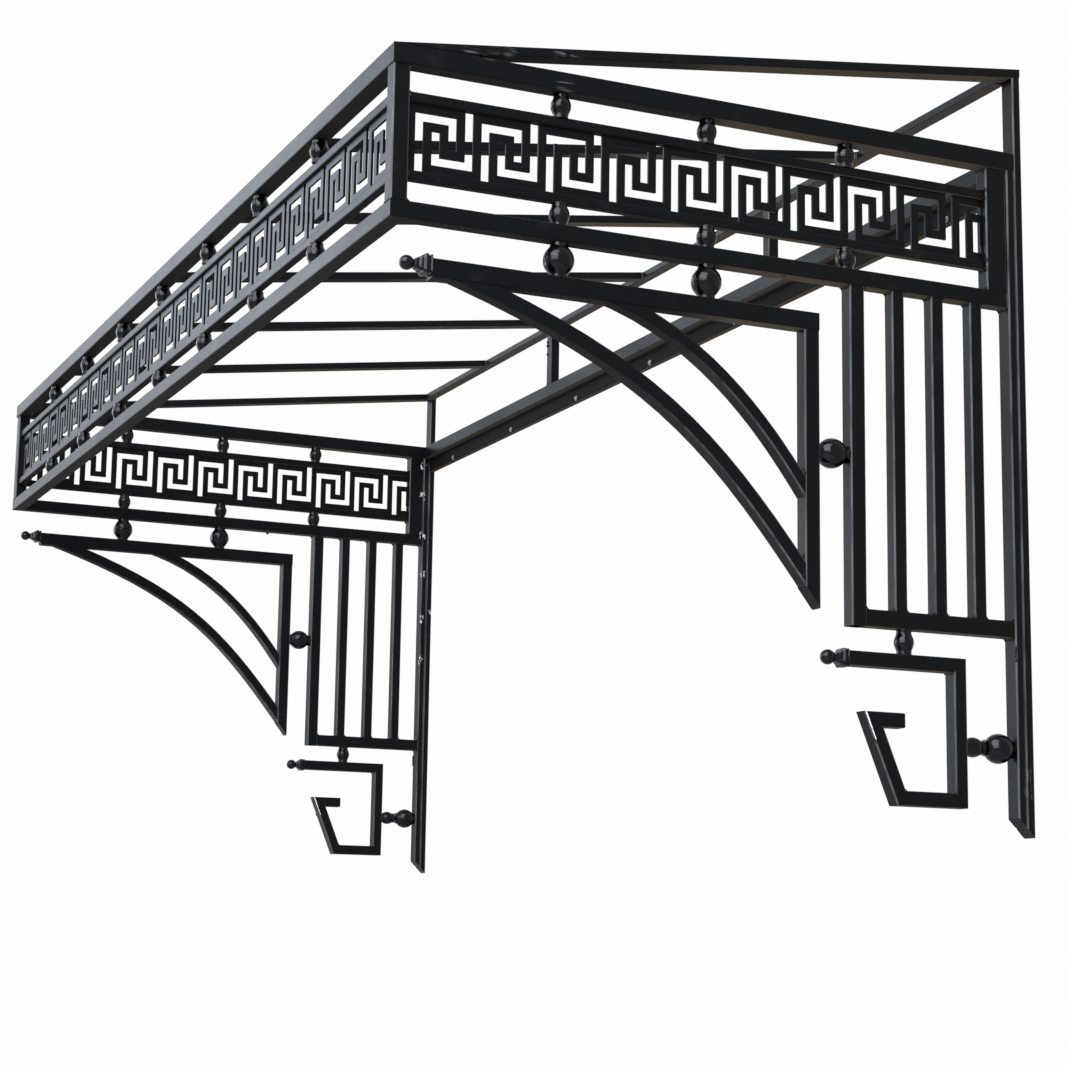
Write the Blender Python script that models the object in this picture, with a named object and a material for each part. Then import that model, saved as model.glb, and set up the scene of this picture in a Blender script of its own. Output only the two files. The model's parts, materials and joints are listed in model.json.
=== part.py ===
"""Frame of a wall canopy: a fascia ring with Greek key panels, side brackets with arcs and balls, side
grilles with hooks, wall posts and a sloping roof of rafters. The wall is the plane y = 0, the canopy reaches
towards -Y, and the design heights below are measured from the underside of the bottom rails."""

import math

import bmesh
import bpy
from mathutils import Matrix, Vector

# Overall sizes
WIDTH = 3.454
DEPTH = 1.447
FASCIA_HEIGHT = 0.346
ROOF_RISE = 0.195
POST_DROP = 1.08
CLEARANCE = 0.0003

# Tube sections
TUBE_WALL = 0.002
TUBE_CORNER = 0.003
CORNER_STEPS = 2
RING_TUBE = 0.040
PANEL_TUBE = 0.035
PANEL_INSET = 0.0045
FRONT_PANEL_INSET = 0.0025
REAR_UPRIGHT_DEPTH = 0.051
FLAT_TUBE_WIDTH = 0.040
FLAT_TUBE_THICKNESS = 0.020
POST_CUT_SLOPE = 1.0

# Fret panels
FRET_TUBE = 0.020
PLATE_THICKNESS = 0.005
PLATE_END_STRIP = 0.003
KEY_ROWS = 8
SIDE_KEY_PERIOD = 0.1381
FRONT_KEY_PERIOD = 0.1295

# Balls, each with a collar at both ends, whose length sets the gap that the ball fills
SMALL_BALL = 0.041
SMALL_COLLAR = 0.030
LARGE_BALL = 0.062
LARGE_COLLAR = 0.034
BALL_SIDES = 16
BALL_BANDS = 4
COLLAR_SINK = 0.001
UPPER_FRET_COLLAR = 0.0042
LOWER_FRET_COLLAR = 0.0020
BRACKET_COLLAR = 0.0040
REAR_COLLAR = 0.0055
HANG_COLLAR = 0.00525
CHAIN_COLLAR = 0.0055
CHAIN_NECK = 0.006
SIDE_BALL_MIDDLE = 0.758
SIDE_BALL_PITCH = 0.327
FRONT_BALL_PITCH = 0.412
FRONT_BALLS_EACH_SIDE = 3

# Bracket under the side rail. Its arcs are (y, z) handles from the upper rear corner of the bracket
BRACKET_BAR_HEIGHT = 0.038
BRACKET_LENGTH = 0.849
BRACKET_HEIGHT = 0.611
BRACKET_BALL_HEIGHT = 0.357
OUTER_ARC_THICKNESS = 0.030
INNER_ARC_THICKNESS = 0.026
ARC_STEPS = 18
ARC_SEARCH_STEPS = 360
OUTER_ARC = ((-0.875, -0.002), (-0.374, -0.148), (-0.246, -0.269), (0.006, -0.593))
INNER_ARC = ((-0.553, -0.009), (-0.239, -0.053), (-0.076, -0.311), (-0.014, -0.392))

# Grille between the bracket and the post
GRILLE_FRONT = 0.432
GRILLE_DROP = 0.708
GRILLE_BAR_WIDTH = 0.030
GRILLE_BAR_DEPTH = 0.030
GRILLE_BARS = 3

# Hook under the grille. Its depths run forward from its rear face, and its heights down from its top
HOOK_THICKNESS = 0.030
HOOK_LENGTH = 0.279
HOOK_HEIGHT = 0.306
HOOK_LIP_DROP = 0.120
HOOK_LIP_REAR = 0.150
HOOK_INNER_CORNER = 0.149
HOOK_LEAN = 0.41
HOOK_BALL_DROP = 0.1795
HOOK_SLIT_WIDTH = 0.0025
HOOK_SLIT_DEPTH = 0.058

# Finials: square steps that shrink towards the front, then a neck and a ball
BRACKET_FINIAL_HALF = 0.0215
BRACKET_FINIAL_STEP = 0.0120
BRACKET_FINIAL_BALL = 0.029
BRACKET_FINIAL_RAISE = 0.0075
HOOK_FINIAL_HALF = 0.0200
HOOK_FINIAL_STEP = 0.0095
HOOK_FINIAL_BALL = 0.031
FINIAL_STEPS = 3
FINIAL_BANDS = 6
FINIAL_SHRINK = 0.0050
FINIAL_NECK_LENGTH = 0.005
FINIAL_NECK_RADIUS = 0.006

# Wall frame and roof
WALL_RAIL_HEIGHT = 0.045
WALL_HOLE_DIAMETER = 0.010
WALL_HOLE_PITCH = 0.490
WALL_HOLES_EACH_SIDE = 3
WALL_HOLE_HEIGHT = 0.010
HIGH_RAIL_HEIGHT = 0.020
HIGH_RAIL_DEPTH = 0.030
MIDDLE_UPRIGHT = 0.030
MIDDLE_UPRIGHT_PLACE = 0.670
MIDDLE_UPRIGHT_SHIFT = 0.020
RAFTER_COUNT = 7
INNER_RAFTER_SHIFT = -0.030
MOUNT_ABOVE_RAIL = 0.029

# Finish and smoothing
FRAME_COLOUR = (0.020, 0.021, 0.023, 1.0)
BALL_COLOUR = (0.014, 0.015, 0.017, 1.0)
FRAME_ROUGHNESS = 0.42
BALL_ROUGHNESS = 0.28
SHARP_ANGLE = math.radians(40.0)
POLE_ANGLE = math.radians(80.0)

# Sizes and places that follow from the sizes above
HALF_WIDTH = WIDTH / 2
POST_DEPTH = 2 * FLAT_TUBE_THICKNESS
PANEL_FACE = HALF_WIDTH - PANEL_INSET
PANEL_MIDDLE = PANEL_FACE - PANEL_TUBE / 2
PANEL_FRONT = DEPTH - FRONT_PANEL_INSET
RING_MIDDLE = HALF_WIDTH - RING_TUBE / 2
RING_UNDERSIDE = FASCIA_HEIGHT - RING_TUBE
FRET_TOP = RING_UNDERSIDE - SMALL_BALL - 2 * UPPER_FRET_COLLAR
FRET_BOTTOM = PANEL_TUBE + SMALL_BALL + 2 * LOWER_FRET_COLLAR
SIDE_FRET_FRONT = PANEL_FRONT - PANEL_TUBE
SIDE_FRET_REAR = POST_DEPTH + REAR_UPRIGHT_DEPTH
FRONT_FRET_HALF = PANEL_FACE - PANEL_TUBE
BRACKET_GAP = LARGE_BALL + 2 * BRACKET_COLLAR
BRACKET_TOP = -BRACKET_GAP
BRACKET_UNDERSIDE = BRACKET_TOP - BRACKET_BAR_HEIGHT
BRACKET_TIP = BRACKET_TOP - BRACKET_HEIGHT
REAR_GAP = LARGE_BALL + 2 * REAR_COLLAR
BRACKET_REAR_FACE = -GRILLE_FRONT - REAR_GAP
BRACKET_FRONT_FACE = BRACKET_REAR_FACE - BRACKET_LENGTH
BRACKET_BAR_FRONT = BRACKET_REAR_FACE - PANEL_TUBE
GRILLE_FRONT_FACE = -GRILLE_FRONT
GRILLE_REAR_OF_FRONT_BAR = GRILLE_FRONT_FACE + PANEL_TUBE
GRILLE_BOTTOM_TOP = -GRILLE_DROP + PANEL_TUBE
HANG_GAP = SMALL_BALL + 2 * HANG_COLLAR
HOOK_TOP = -GRILLE_DROP - HANG_GAP
CHAIN_LENGTH = SMALL_BALL + LARGE_BALL + CHAIN_NECK + 2 * CHAIN_COLLAR
HOOK_REAR_FACE = -POST_DEPTH - CHAIN_LENGTH
HOOK_FRONT_FACE = HOOK_REAR_FACE - HOOK_LENGTH
WALL_RAIL_TOP = RING_UNDERSIDE
WALL_RAIL_BOTTOM = WALL_RAIL_TOP - WALL_RAIL_HEIGHT
ROOF_SLOPE = ROOF_RISE / DEPTH
RAFTER_DROP = FLAT_TUBE_THICKNESS * math.hypot(1.0, ROOF_SLOPE)
ORIGIN_HEIGHT = WALL_RAIL_BOTTOM + MOUNT_ABOVE_RAIL

X_AXIS = Vector((1.0, 0.0, 0.0))
Y_AXIS = Vector((0.0, 1.0, 0.0))
Z_AXIS = Vector((0.0, 0.0, 1.0))
SIDES = ((-1, "left"), (1, "right"))


def clear_scene():
    for item in list(bpy.data.objects):
        bpy.data.objects.remove(item, do_unlink=True)


def make_frame_origin():
    """The empty that every piece hangs from. It puts the world origin on the wall rail's back face."""
    empty = bpy.data.objects.new("frame_origin", None)
    empty.location = (0.0, 0.0, -ORIGIN_HEIGHT)
    bpy.context.scene.collection.objects.link(empty)
    return empty


def paint(name, colour, roughness):
    material = bpy.data.materials.new(f"{name}_paint")
    material.use_nodes = True
    shader = material.node_tree.nodes["Principled BSDF"]
    shader.inputs["Base Color"].default_value = colour
    shader.inputs["Roughness"].default_value = roughness
    shader.inputs["Metallic"].default_value = 0.0
    return material


def finish(name, shape, colour=FRAME_COLOUR, roughness=FRAME_ROUGHNESS):
    """Makes a named object from the closed bmesh, facing out, with its own material."""
    bmesh.ops.recalc_face_normals(shape, faces=shape.faces)
    mesh = bpy.data.meshes.new(name)
    shape.to_mesh(mesh)
    shape.free()
    mesh.materials.append(paint(name, colour, roughness))
    mesh.shade_smooth()
    mesh.set_sharp_from_angle(angle=SHARP_ANGLE)
    item = bpy.data.objects.new(name, mesh)
    item.parent = FRAME_ORIGIN
    bpy.context.scene.collection.objects.link(item)
    return item


def as_helper(item):
    item.hide_render = True
    item.display_type = "WIRE"
    return item


def combine(item, helper, operation):
    modifier = item.modifiers.new(helper.name, "BOOLEAN")
    modifier.operation = operation
    modifier.solver = "EXACT"
    modifier.object = as_helper(helper)
    return item


def corner_profile(width, height, radius):
    """Outline of a rectangle with rounded corners, as (across, up) pairs."""
    outline = []
    turn = math.pi / 2
    for quarter in range(4):
        middle = (quarter + 0.5) * turn
        across = math.copysign(width / 2 - radius, math.cos(middle))
        up = math.copysign(height / 2 - radius, math.sin(middle))
        for step in range(CORNER_STEPS + 1):
            angle = (quarter + step / CORNER_STEPS) * turn
            outline.append((across + radius * math.cos(angle), up + radius * math.sin(angle)))
    return outline


def bisector(before, after):
    return (before + after).normalized()


def section_rings(points, across, outline, cuts):
    """The outline at each point of the path, in the plane that halves the bend, or in the given end cut."""
    ways = [(b - a).normalized() for a, b in zip(points, points[1:])]
    rings = []
    for index, point in enumerate(points):
        way = ways[max(index - 1, 0)]
        if index == 0:
            normal = cuts[0] or way
        elif index == len(points) - 1:
            normal = cuts[1] or way
        else:
            normal = bisector(ways[index - 1], ways[index])
        up = way.cross(across)
        ring = []
        for sideways, upwards in outline:
            corner = point + across * sideways + up * upwards
            ring.append(corner + way * ((point - corner).dot(normal) / way.dot(normal)))
        rings.append(ring)
    return rings


def skin(shape, rings):
    """Quads between neighbouring rings of equal count. It returns the first and the last ring of vertices."""
    loops = [[shape.verts.new(corner) for corner in ring] for ring in rings]
    for near, far in zip(loops, loops[1:]):
        for index in range(len(near)):
            following = (index + 1) % len(near)
            shape.faces.new((near[index], near[following], far[following], far[index]))
    return loops[0], loops[-1]


def join_loops(shape, outer, inner):
    for index in range(len(outer)):
        following = (index + 1) % len(outer)
        shape.faces.new((outer[index], outer[following], inner[following], inner[index]))


def tube(name, points, across, size, cuts=(None, None), closed_end=False):
    """A hollow tube along the path. size is (across, up). A closed end has a plate as thick as the wall."""
    width, height = size
    points = [Vector(point) for point in points]
    shape = bmesh.new()
    outer = section_rings(points, across, corner_profile(width, height, TUBE_CORNER), cuts)
    bore = corner_profile(width - 2 * TUBE_WALL, height - 2 * TUBE_WALL, TUBE_CORNER - TUBE_WALL)
    bore_points = list(points)
    if closed_end:
        bore_points[-1] = points[-1] - (points[-1] - points[-2]).normalized() * TUBE_WALL
    inner = section_rings(bore_points, across, bore, cuts)
    outer_first, outer_last = skin(shape, outer)
    inner_first, inner_last = skin(shape, inner)
    join_loops(shape, outer_first, inner_first)
    if closed_end:
        shape.faces.new(outer_last)
        shape.faces.new(inner_last)
    else:
        join_loops(shape, outer_last, inner_last)
    return finish(name, shape)


def box(name, low, high):
    shape = bmesh.new()
    middle = (Vector(low) + Vector(high)) / 2
    size = Vector(high) - Vector(low)
    bmesh.ops.create_cube(shape, size=1.0, matrix=Matrix.Translation(middle) @ Matrix.Diagonal(size.to_4d()))
    return finish(name, shape)


def turned_rings(base, axis, profile, sides):
    """Rings of a turned shape: profile holds (radius, distance along the axis) pairs."""
    across = axis.orthogonal().normalized()
    up = axis.cross(across)
    rings = []
    for radius, distance in profile:
        ring = []
        for side in range(sides):
            angle = 2 * math.pi * (side + 0.5) / sides
            spoke = across * math.cos(angle) + up * math.sin(angle)
            ring.append(base + axis * distance + spoke * radius)
        rings.append(ring)
    return rings


def add_closed_skin(shape, rings):
    first, last = skin(shape, rings)
    shape.faces.new(first)
    shape.faces.new(last)


def ball_profile(ball, collar, start, length):
    """A ball with a collar at each end that fills the given length."""
    radius = ball / 2
    reach = math.acos(collar / ball)
    middle = start + length / 2
    profile = [(collar / 2, start)]
    for band in range(BALL_BANDS + 1):
        angle = reach * (2 * band / BALL_BANDS - 1)
        profile.append((radius * math.cos(angle), middle + radius * math.sin(angle)))
    profile.append((collar / 2, start + length))
    return profile


def balls(name, bases, axis, ball, collar, gap):
    """Balls that stand on the surface at each base, sunk into it, and end short of the next piece."""
    shape = bmesh.new()
    for base in bases:
        profile = ball_profile(ball, collar, 0.0, gap)
        profile[0] = (profile[0][0], -COLLAR_SINK)
        profile[-1] = (profile[-1][0], gap - CLEARANCE)
        add_closed_skin(shape, turned_rings(Vector(base), axis, profile, BALL_SIDES))
    return finish(name, shape, BALL_COLOUR, BALL_ROUGHNESS)


def cut_cells_of(units):
    """The (column, row) squares of the meander that are open. Rows count down from the top."""
    open_bars = ((0, 1, 1, 8), (0, 5, 1, 2), (4, 5, 1, 5), (2, 3, 3, 7), (2, 7, 6, 7), (6, 7, 0, 7))
    cells = set()
    for unit in range(units):
        for first, last, top, bottom in open_bars:
            for column in range(first, last):
                cells.update((1 + unit * KEY_ROWS + column, row) for row in range(top, bottom))
    return cells


def key_plate(name, length, period, place):
    """A meander plate of eight rows. It starts with one whole stroke, the last unit is cut short, and a
    narrow strip closes that end. place turns (along, up, outwards) into a point."""
    height = FRET_TOP - FRET_TUBE - FRET_BOTTOM - FRET_TUBE - 2 * CLEARANCE
    stroke = period / KEY_ROWS
    row_height = height / KEY_ROWS
    columns = math.ceil((length - PLATE_END_STRIP) / stroke) + 1
    edges = [column * stroke for column in range(columns - 1)] + [length - PLATE_END_STRIP, length]
    open_cells = {cell for cell in cut_cells_of(columns // KEY_ROWS + 1) if cell[0] < columns - 1}
    shape = bmesh.new()
    corners = {}

    def corner(column, row):
        if (column, row) not in corners:
            spot = place(edges[column], height - row * row_height, -PLATE_THICKNESS / 2)
            corners[(column, row)] = shape.verts.new(spot)
        return corners[(column, row)]

    for column in range(columns):
        for row in range(KEY_ROWS):
            if (column, row) not in open_cells:
                ring = ((column, row), (column + 1, row), (column + 1, row + 1), (column, row + 1))
                shape.faces.new([corner(*spot) for spot in ring])
    bmesh.ops.dissolve_limit(shape, angle_limit=math.radians(1.0), verts=shape.verts, edges=shape.edges)
    outwards = place(0.0, 0.0, PLATE_THICKNESS) - place(0.0, 0.0, 0.0)
    grown = bmesh.ops.extrude_face_region(shape, geom=shape.faces[:])
    moved = [item for item in grown["geom"] if isinstance(item, bmesh.types.BMVert)]
    bmesh.ops.translate(shape, verts=moved, vec=outwards)
    return finish(name, shape)


def curve_points(handles, steps):
    """Points of a cubic curve in the side plane, from its four (y, z) handles."""
    points = []
    for step in range(steps + 1):
        t = step / steps
        weights = ((1 - t) ** 3, 3 * (1 - t) ** 2 * t, 3 * (1 - t) * t**2, t**3)
        y = sum(weight * handle[0] for weight, handle in zip(weights, handles))
        z = sum(weight * handle[1] for weight, handle in zip(weights, handles))
        points.append(Vector((0.0, y, z)))
    return points


def arc_underside_at(handles, thickness, y):
    """Height where the arc's lower face passes the given depth, and the arc's direction there."""
    points = curve_points(handles, ARC_SEARCH_STEPS)
    best = None
    for before, after in zip(points, points[1:]):
        way = (after - before).normalized()
        edge = before + way.cross(X_AXIS) * (thickness / 2)
        if edge.z > before.z:
            edge = before - way.cross(X_AXIS) * (thickness / 2)
        if best is None or abs(edge.y - y) < abs(best[0].y - y):
            best = (edge, way)
    return best[0].z, best[1]


def finial(name, base, half, step_length, ball):
    """Stepped square collars, a neck and a ball, one behind the other towards -Y from the base point."""
    def square(size, distance):
        ring = []
        for side in range(BALL_SIDES):
            angle = 2 * math.pi * side / BALL_SIDES
            reach = size / max(abs(math.cos(angle)), abs(math.sin(angle)))
            ring.append(base + Vector((reach * math.cos(angle), -distance, reach * math.sin(angle))))
        return ring

    def circle(radius, distance):
        ring = []
        for side in range(BALL_SIDES):
            angle = 2 * math.pi * side / BALL_SIDES
            ring.append(base + Vector((radius * math.cos(angle), -distance, radius * math.sin(angle))))
        return ring

    rings = []
    for step in range(FINIAL_STEPS):
        size = half - step * FINIAL_SHRINK
        rings += [square(size, step * step_length), square(size, (step + 1) * step_length)]
    neck = FINIAL_STEPS * step_length
    rings += [circle(FINIAL_NECK_RADIUS, neck), circle(FINIAL_NECK_RADIUS, neck + FINIAL_NECK_LENGTH)]
    radius = ball / 2
    start = math.acos(FINIAL_NECK_RADIUS / radius)
    middle = neck + FINIAL_NECK_LENGTH + radius * math.sin(start)
    for band in range(1, FINIAL_BANDS + 1):
        angle = -start + (POLE_ANGLE + start) * band / FINIAL_BANDS
        rings.append(circle(radius * math.cos(angle), middle + radius * math.sin(angle)))
    shape = bmesh.new()
    add_closed_skin(shape, rings)
    return finish(name, shape, BALL_COLOUR, BALL_ROUGHNESS)


def mitre(side):
    """Normal of the mitre plane at the front corner of that side."""
    return Vector((side, 1.0, 0.0)).normalized()


def make_ring(side_names):
    """The top ring of the fascia, with mitred front corners, and the rear rail between its sides."""
    height = FASCIA_HEIGHT - RING_TUBE / 2
    size = (RING_TUBE, RING_TUBE)
    front = DEPTH - RING_TUBE / 2
    half_gap = CLEARANCE / math.sqrt(2.0)
    tube(
        "front_top_rail",
        [(-RING_MIDDLE + half_gap, -front, height), (RING_MIDDLE - half_gap, -front, height)],
        Y_AXIS,
        size,
        (mitre(-1), mitre(1)),
    )
    for side, name in side_names:
        x = side * RING_MIDDLE
        tube(
            f"{name}_top_rail",
            [(x, -front + half_gap, height), (x, -FLAT_TUBE_THICKNESS - CLEARANCE, height)],
            X_AXIS,
            size,
            (mitre(side), None),
        )
    inner = HALF_WIDTH - RING_TUBE - CLEARANCE
    y = -POST_DEPTH + FLAT_TUBE_THICKNESS / 2
    tube(
        "rear_top_rail",
        [(-inner, y, height), (inner, y, height)],
        Y_AXIS,
        (FLAT_TUBE_THICKNESS - CLEARANCE, RING_TUBE),
    )


def make_bottom_rails(side_names):
    height = PANEL_TUBE / 2
    size = (PANEL_TUBE, PANEL_TUBE)
    front = PANEL_FRONT - PANEL_TUBE / 2
    half_gap = CLEARANCE / math.sqrt(2.0)
    tube(
        "front_bottom_rail",
        [(-PANEL_MIDDLE + half_gap, -front, height), (PANEL_MIDDLE - half_gap, -front, height)],
        Y_AXIS,
        size,
        (mitre(-1), mitre(1)),
    )
    for side, name in side_names:
        x = side * PANEL_MIDDLE
        tube(
            f"{name}_bottom_rail",
            [(x, -front + half_gap, height), (x, -POST_DEPTH - CLEARANCE, height)],
            X_AXIS,
            size,
            (mitre(side), None),
        )


def make_panel_uprights(side, name):
    x = side * PANEL_MIDDLE
    low = PANEL_TUBE + CLEARANCE
    high = RING_UNDERSIDE - CLEARANCE
    y = -PANEL_FRONT + PANEL_TUBE / 2
    tube(f"{name}_front_upright", [(x, y, low), (x, y, high)], X_AXIS, (PANEL_TUBE, PANEL_TUBE))
    depth = REAR_UPRIGHT_DEPTH - CLEARANCE
    y = -POST_DEPTH - CLEARANCE - depth / 2
    tube(f"{name}_rear_upright", [(x, y, low), (x, y, high)], X_AXIS, (PANEL_TUBE, depth))


def make_fret(name, start, end, across, ball_places):
    """The two fret bars of one panel, each with its row of balls."""
    size = (FRET_TUBE, FRET_TUBE)
    top = FRET_TOP - FRET_TUBE / 2
    low = FRET_BOTTOM + FRET_TUBE / 2
    upper = tube(f"{name}_fret_top_bar", [(*start, top), (*end, top)], across, size)
    lower = tube(f"{name}_fret_bottom_bar", [(*start, low), (*end, low)], across, size)
    above = [(x, y, FRET_TOP) for x, y in ball_places]
    below = [(x, y, FRET_BOTTOM) for x, y in ball_places]
    gap_above = RING_UNDERSIDE - FRET_TOP
    gap_below = FRET_BOTTOM - PANEL_TUBE
    upper_balls = balls(f"{name}_upper_balls", above, Z_AXIS, SMALL_BALL, SMALL_COLLAR, gap_above)
    lower_balls = balls(f"{name}_lower_balls", below, -Z_AXIS, SMALL_BALL, SMALL_COLLAR, gap_below)
    combine(upper, upper_balls, "UNION")
    combine(lower, lower_balls, "UNION")


def make_side_fret(side, name):
    x = side * PANEL_MIDDLE
    front = -SIDE_FRET_FRONT + CLEARANCE
    rear = -SIDE_FRET_REAR - CLEARANCE
    places = [(x, -SIDE_BALL_MIDDLE + step * SIDE_BALL_PITCH) for step in (-1, 0, 1)]
    make_fret(name, (x, front), (x, rear), X_AXIS, places)
    low = FRET_BOTTOM + FRET_TUBE + CLEARANCE

    def place(along, up, outwards):
        return Vector((x + side * outwards, front + along, low + up))

    key_plate(f"{name}_fret_plate", rear - front, SIDE_KEY_PERIOD, place)


def make_front_fret():
    y = -PANEL_FRONT + PANEL_TUBE / 2
    half = FRONT_FRET_HALF - CLEARANCE
    steps = range(-FRONT_BALLS_EACH_SIDE, FRONT_BALLS_EACH_SIDE + 1)
    places = [(step * FRONT_BALL_PITCH, y) for step in steps]
    make_fret("front", (-half, y), (half, y), Y_AXIS, places)
    low = FRET_BOTTOM + FRET_TUBE + CLEARANCE

    def place(along, up, outwards):
        return Vector((-half + along, y - outwards, low + up))

    key_plate("front_fret_plate", 2 * half, FRONT_KEY_PERIOD, place)


def make_posts(side, name):
    """The post tube up to the ring, and the wall post up to the rafter. Both feet share one slanted cut."""
    size = (FLAT_TUBE_WIDTH, FLAT_TUBE_THICKNESS - CLEARANCE)
    x = side * (HALF_WIDTH - FLAT_TUBE_WIDTH / 2)
    foot_cut = Vector((0.0, POST_CUT_SLOPE, 1.0)).normalized()
    front_y = -POST_DEPTH + size[1] / 2
    foot = -POST_DROP - POST_CUT_SLOPE * size[1] / 2
    tube(
        f"{name}_post",
        [(x, front_y, foot), (x, front_y, RING_UNDERSIDE - CLEARANCE)],
        X_AXIS,
        size,
        (foot_cut, None),
    )
    wall_y = -FLAT_TUBE_THICKNESS / 2
    foot = -POST_DROP - POST_CUT_SLOPE * (POST_DEPTH - FLAT_TUBE_THICKNESS / 2)
    roof_cut = Vector((0.0, -ROOF_SLOPE, 1.0)).normalized()
    roof = rafter_underside(wall_y) - CLEARANCE
    tube(
        f"{name}_wall_post",
        [(x, wall_y, foot), (x, wall_y, roof)],
        X_AXIS,
        (FLAT_TUBE_WIDTH, FLAT_TUBE_THICKNESS),
        (foot_cut, roof_cut),
    )


def rafter_top(y):
    return FASCIA_HEIGHT + ROOF_SLOPE * (y + DEPTH)


def rafter_underside(y):
    return rafter_top(y) - RAFTER_DROP


def make_wall_rail():
    half = HALF_WIDTH - FLAT_TUBE_WIDTH - CLEARANCE
    y = -FLAT_TUBE_THICKNESS / 2
    height = WALL_RAIL_TOP - CLEARANCE - WALL_RAIL_HEIGHT / 2
    rail = tube(
        "wall_rail",
        [(-half, y, height), (half, y, height)],
        Y_AXIS,
        (FLAT_TUBE_THICKNESS, WALL_RAIL_HEIGHT),
    )
    shape = bmesh.new()
    for step in range(-WALL_HOLES_EACH_SIDE, WALL_HOLES_EACH_SIDE + 1):
        base = Vector((step * WALL_HOLE_PITCH, -2 * FLAT_TUBE_THICKNESS, WALL_RAIL_BOTTOM + WALL_HOLE_HEIGHT))
        radius = WALL_HOLE_DIAMETER / 2
        profile = [(radius, 0.0), (radius, 3 * FLAT_TUBE_THICKNESS)]
        add_closed_skin(shape, turned_rings(base, Y_AXIS, profile, BALL_SIDES))
    combine(rail, finish("wall_rail_holes", shape), "DIFFERENCE")


def make_high_rail():
    half = HALF_WIDTH - FLAT_TUBE_WIDTH - CLEARANCE
    y = -POST_DEPTH + HIGH_RAIL_DEPTH / 2
    height = rafter_top(-POST_DEPTH) - HIGH_RAIL_HEIGHT / 2
    tube("high_rail", [(-half, y, height), (half, y, height)], Y_AXIS, (HIGH_RAIL_DEPTH, HIGH_RAIL_HEIGHT))
    low = FASCIA_HEIGHT + CLEARANCE
    top = rafter_top(-POST_DEPTH) - HIGH_RAIL_HEIGHT - CLEARANCE
    y = -POST_DEPTH + MIDDLE_UPRIGHT / 2
    for side, name in SIDES:
        x = side * MIDDLE_UPRIGHT_PLACE + MIDDLE_UPRIGHT_SHIFT
        size = (MIDDLE_UPRIGHT, MIDDLE_UPRIGHT)
        tube(f"{name}_middle_upright", [(x, y, low), (x, y, top)], X_AXIS, size)


def make_rafters():
    """Flat tubes from the front rail to the wall. The edge rafters lie on the side rails and run to the wall
    plane. The others are notched over the front rail and butt on the high rail."""
    edge = HALF_WIDTH - FLAT_TUBE_WIDTH / 2
    for index in range(RAFTER_COUNT):
        is_edge = index in (0, RAFTER_COUNT - 1)
        x = -edge + 2 * edge * index / (RAFTER_COUNT - 1) + (0.0 if is_edge else INNER_RAFTER_SHIFT)
        rear = 0.0 if is_edge else -POST_DEPTH - CLEARANCE
        drop = RAFTER_DROP / 2
        ends = [(x, -DEPTH, rafter_top(-DEPTH) - drop), (x, rear, rafter_top(rear) - drop)]
        rafter = tube(
            f"rafter_{index + 1}",
            ends,
            X_AXIS,
            (FLAT_TUBE_WIDTH, FLAT_TUBE_THICKNESS),
            (Y_AXIS, Y_AXIS),
        )
        side = FLAT_TUBE_WIDTH
        low = (x - side, -DEPTH - side, FASCIA_HEIGHT - 2 * side)
        notch_rear = -FLAT_TUBE_THICKNESS - 2 * CLEARANCE if is_edge else -DEPTH + RING_TUBE + CLEARANCE
        high = (x + side, notch_rear, FASCIA_HEIGHT + CLEARANCE)
        combine(rafter, box(f"rafter_notch_{index + 1}", low, high), "DIFFERENCE")


def on_bracket(handles):
    """The handles of an arc, moved from the bracket's upper rear corner to their design places."""
    return [(BRACKET_REAR_FACE + y, BRACKET_TOP + z) for y, z in handles]


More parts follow.
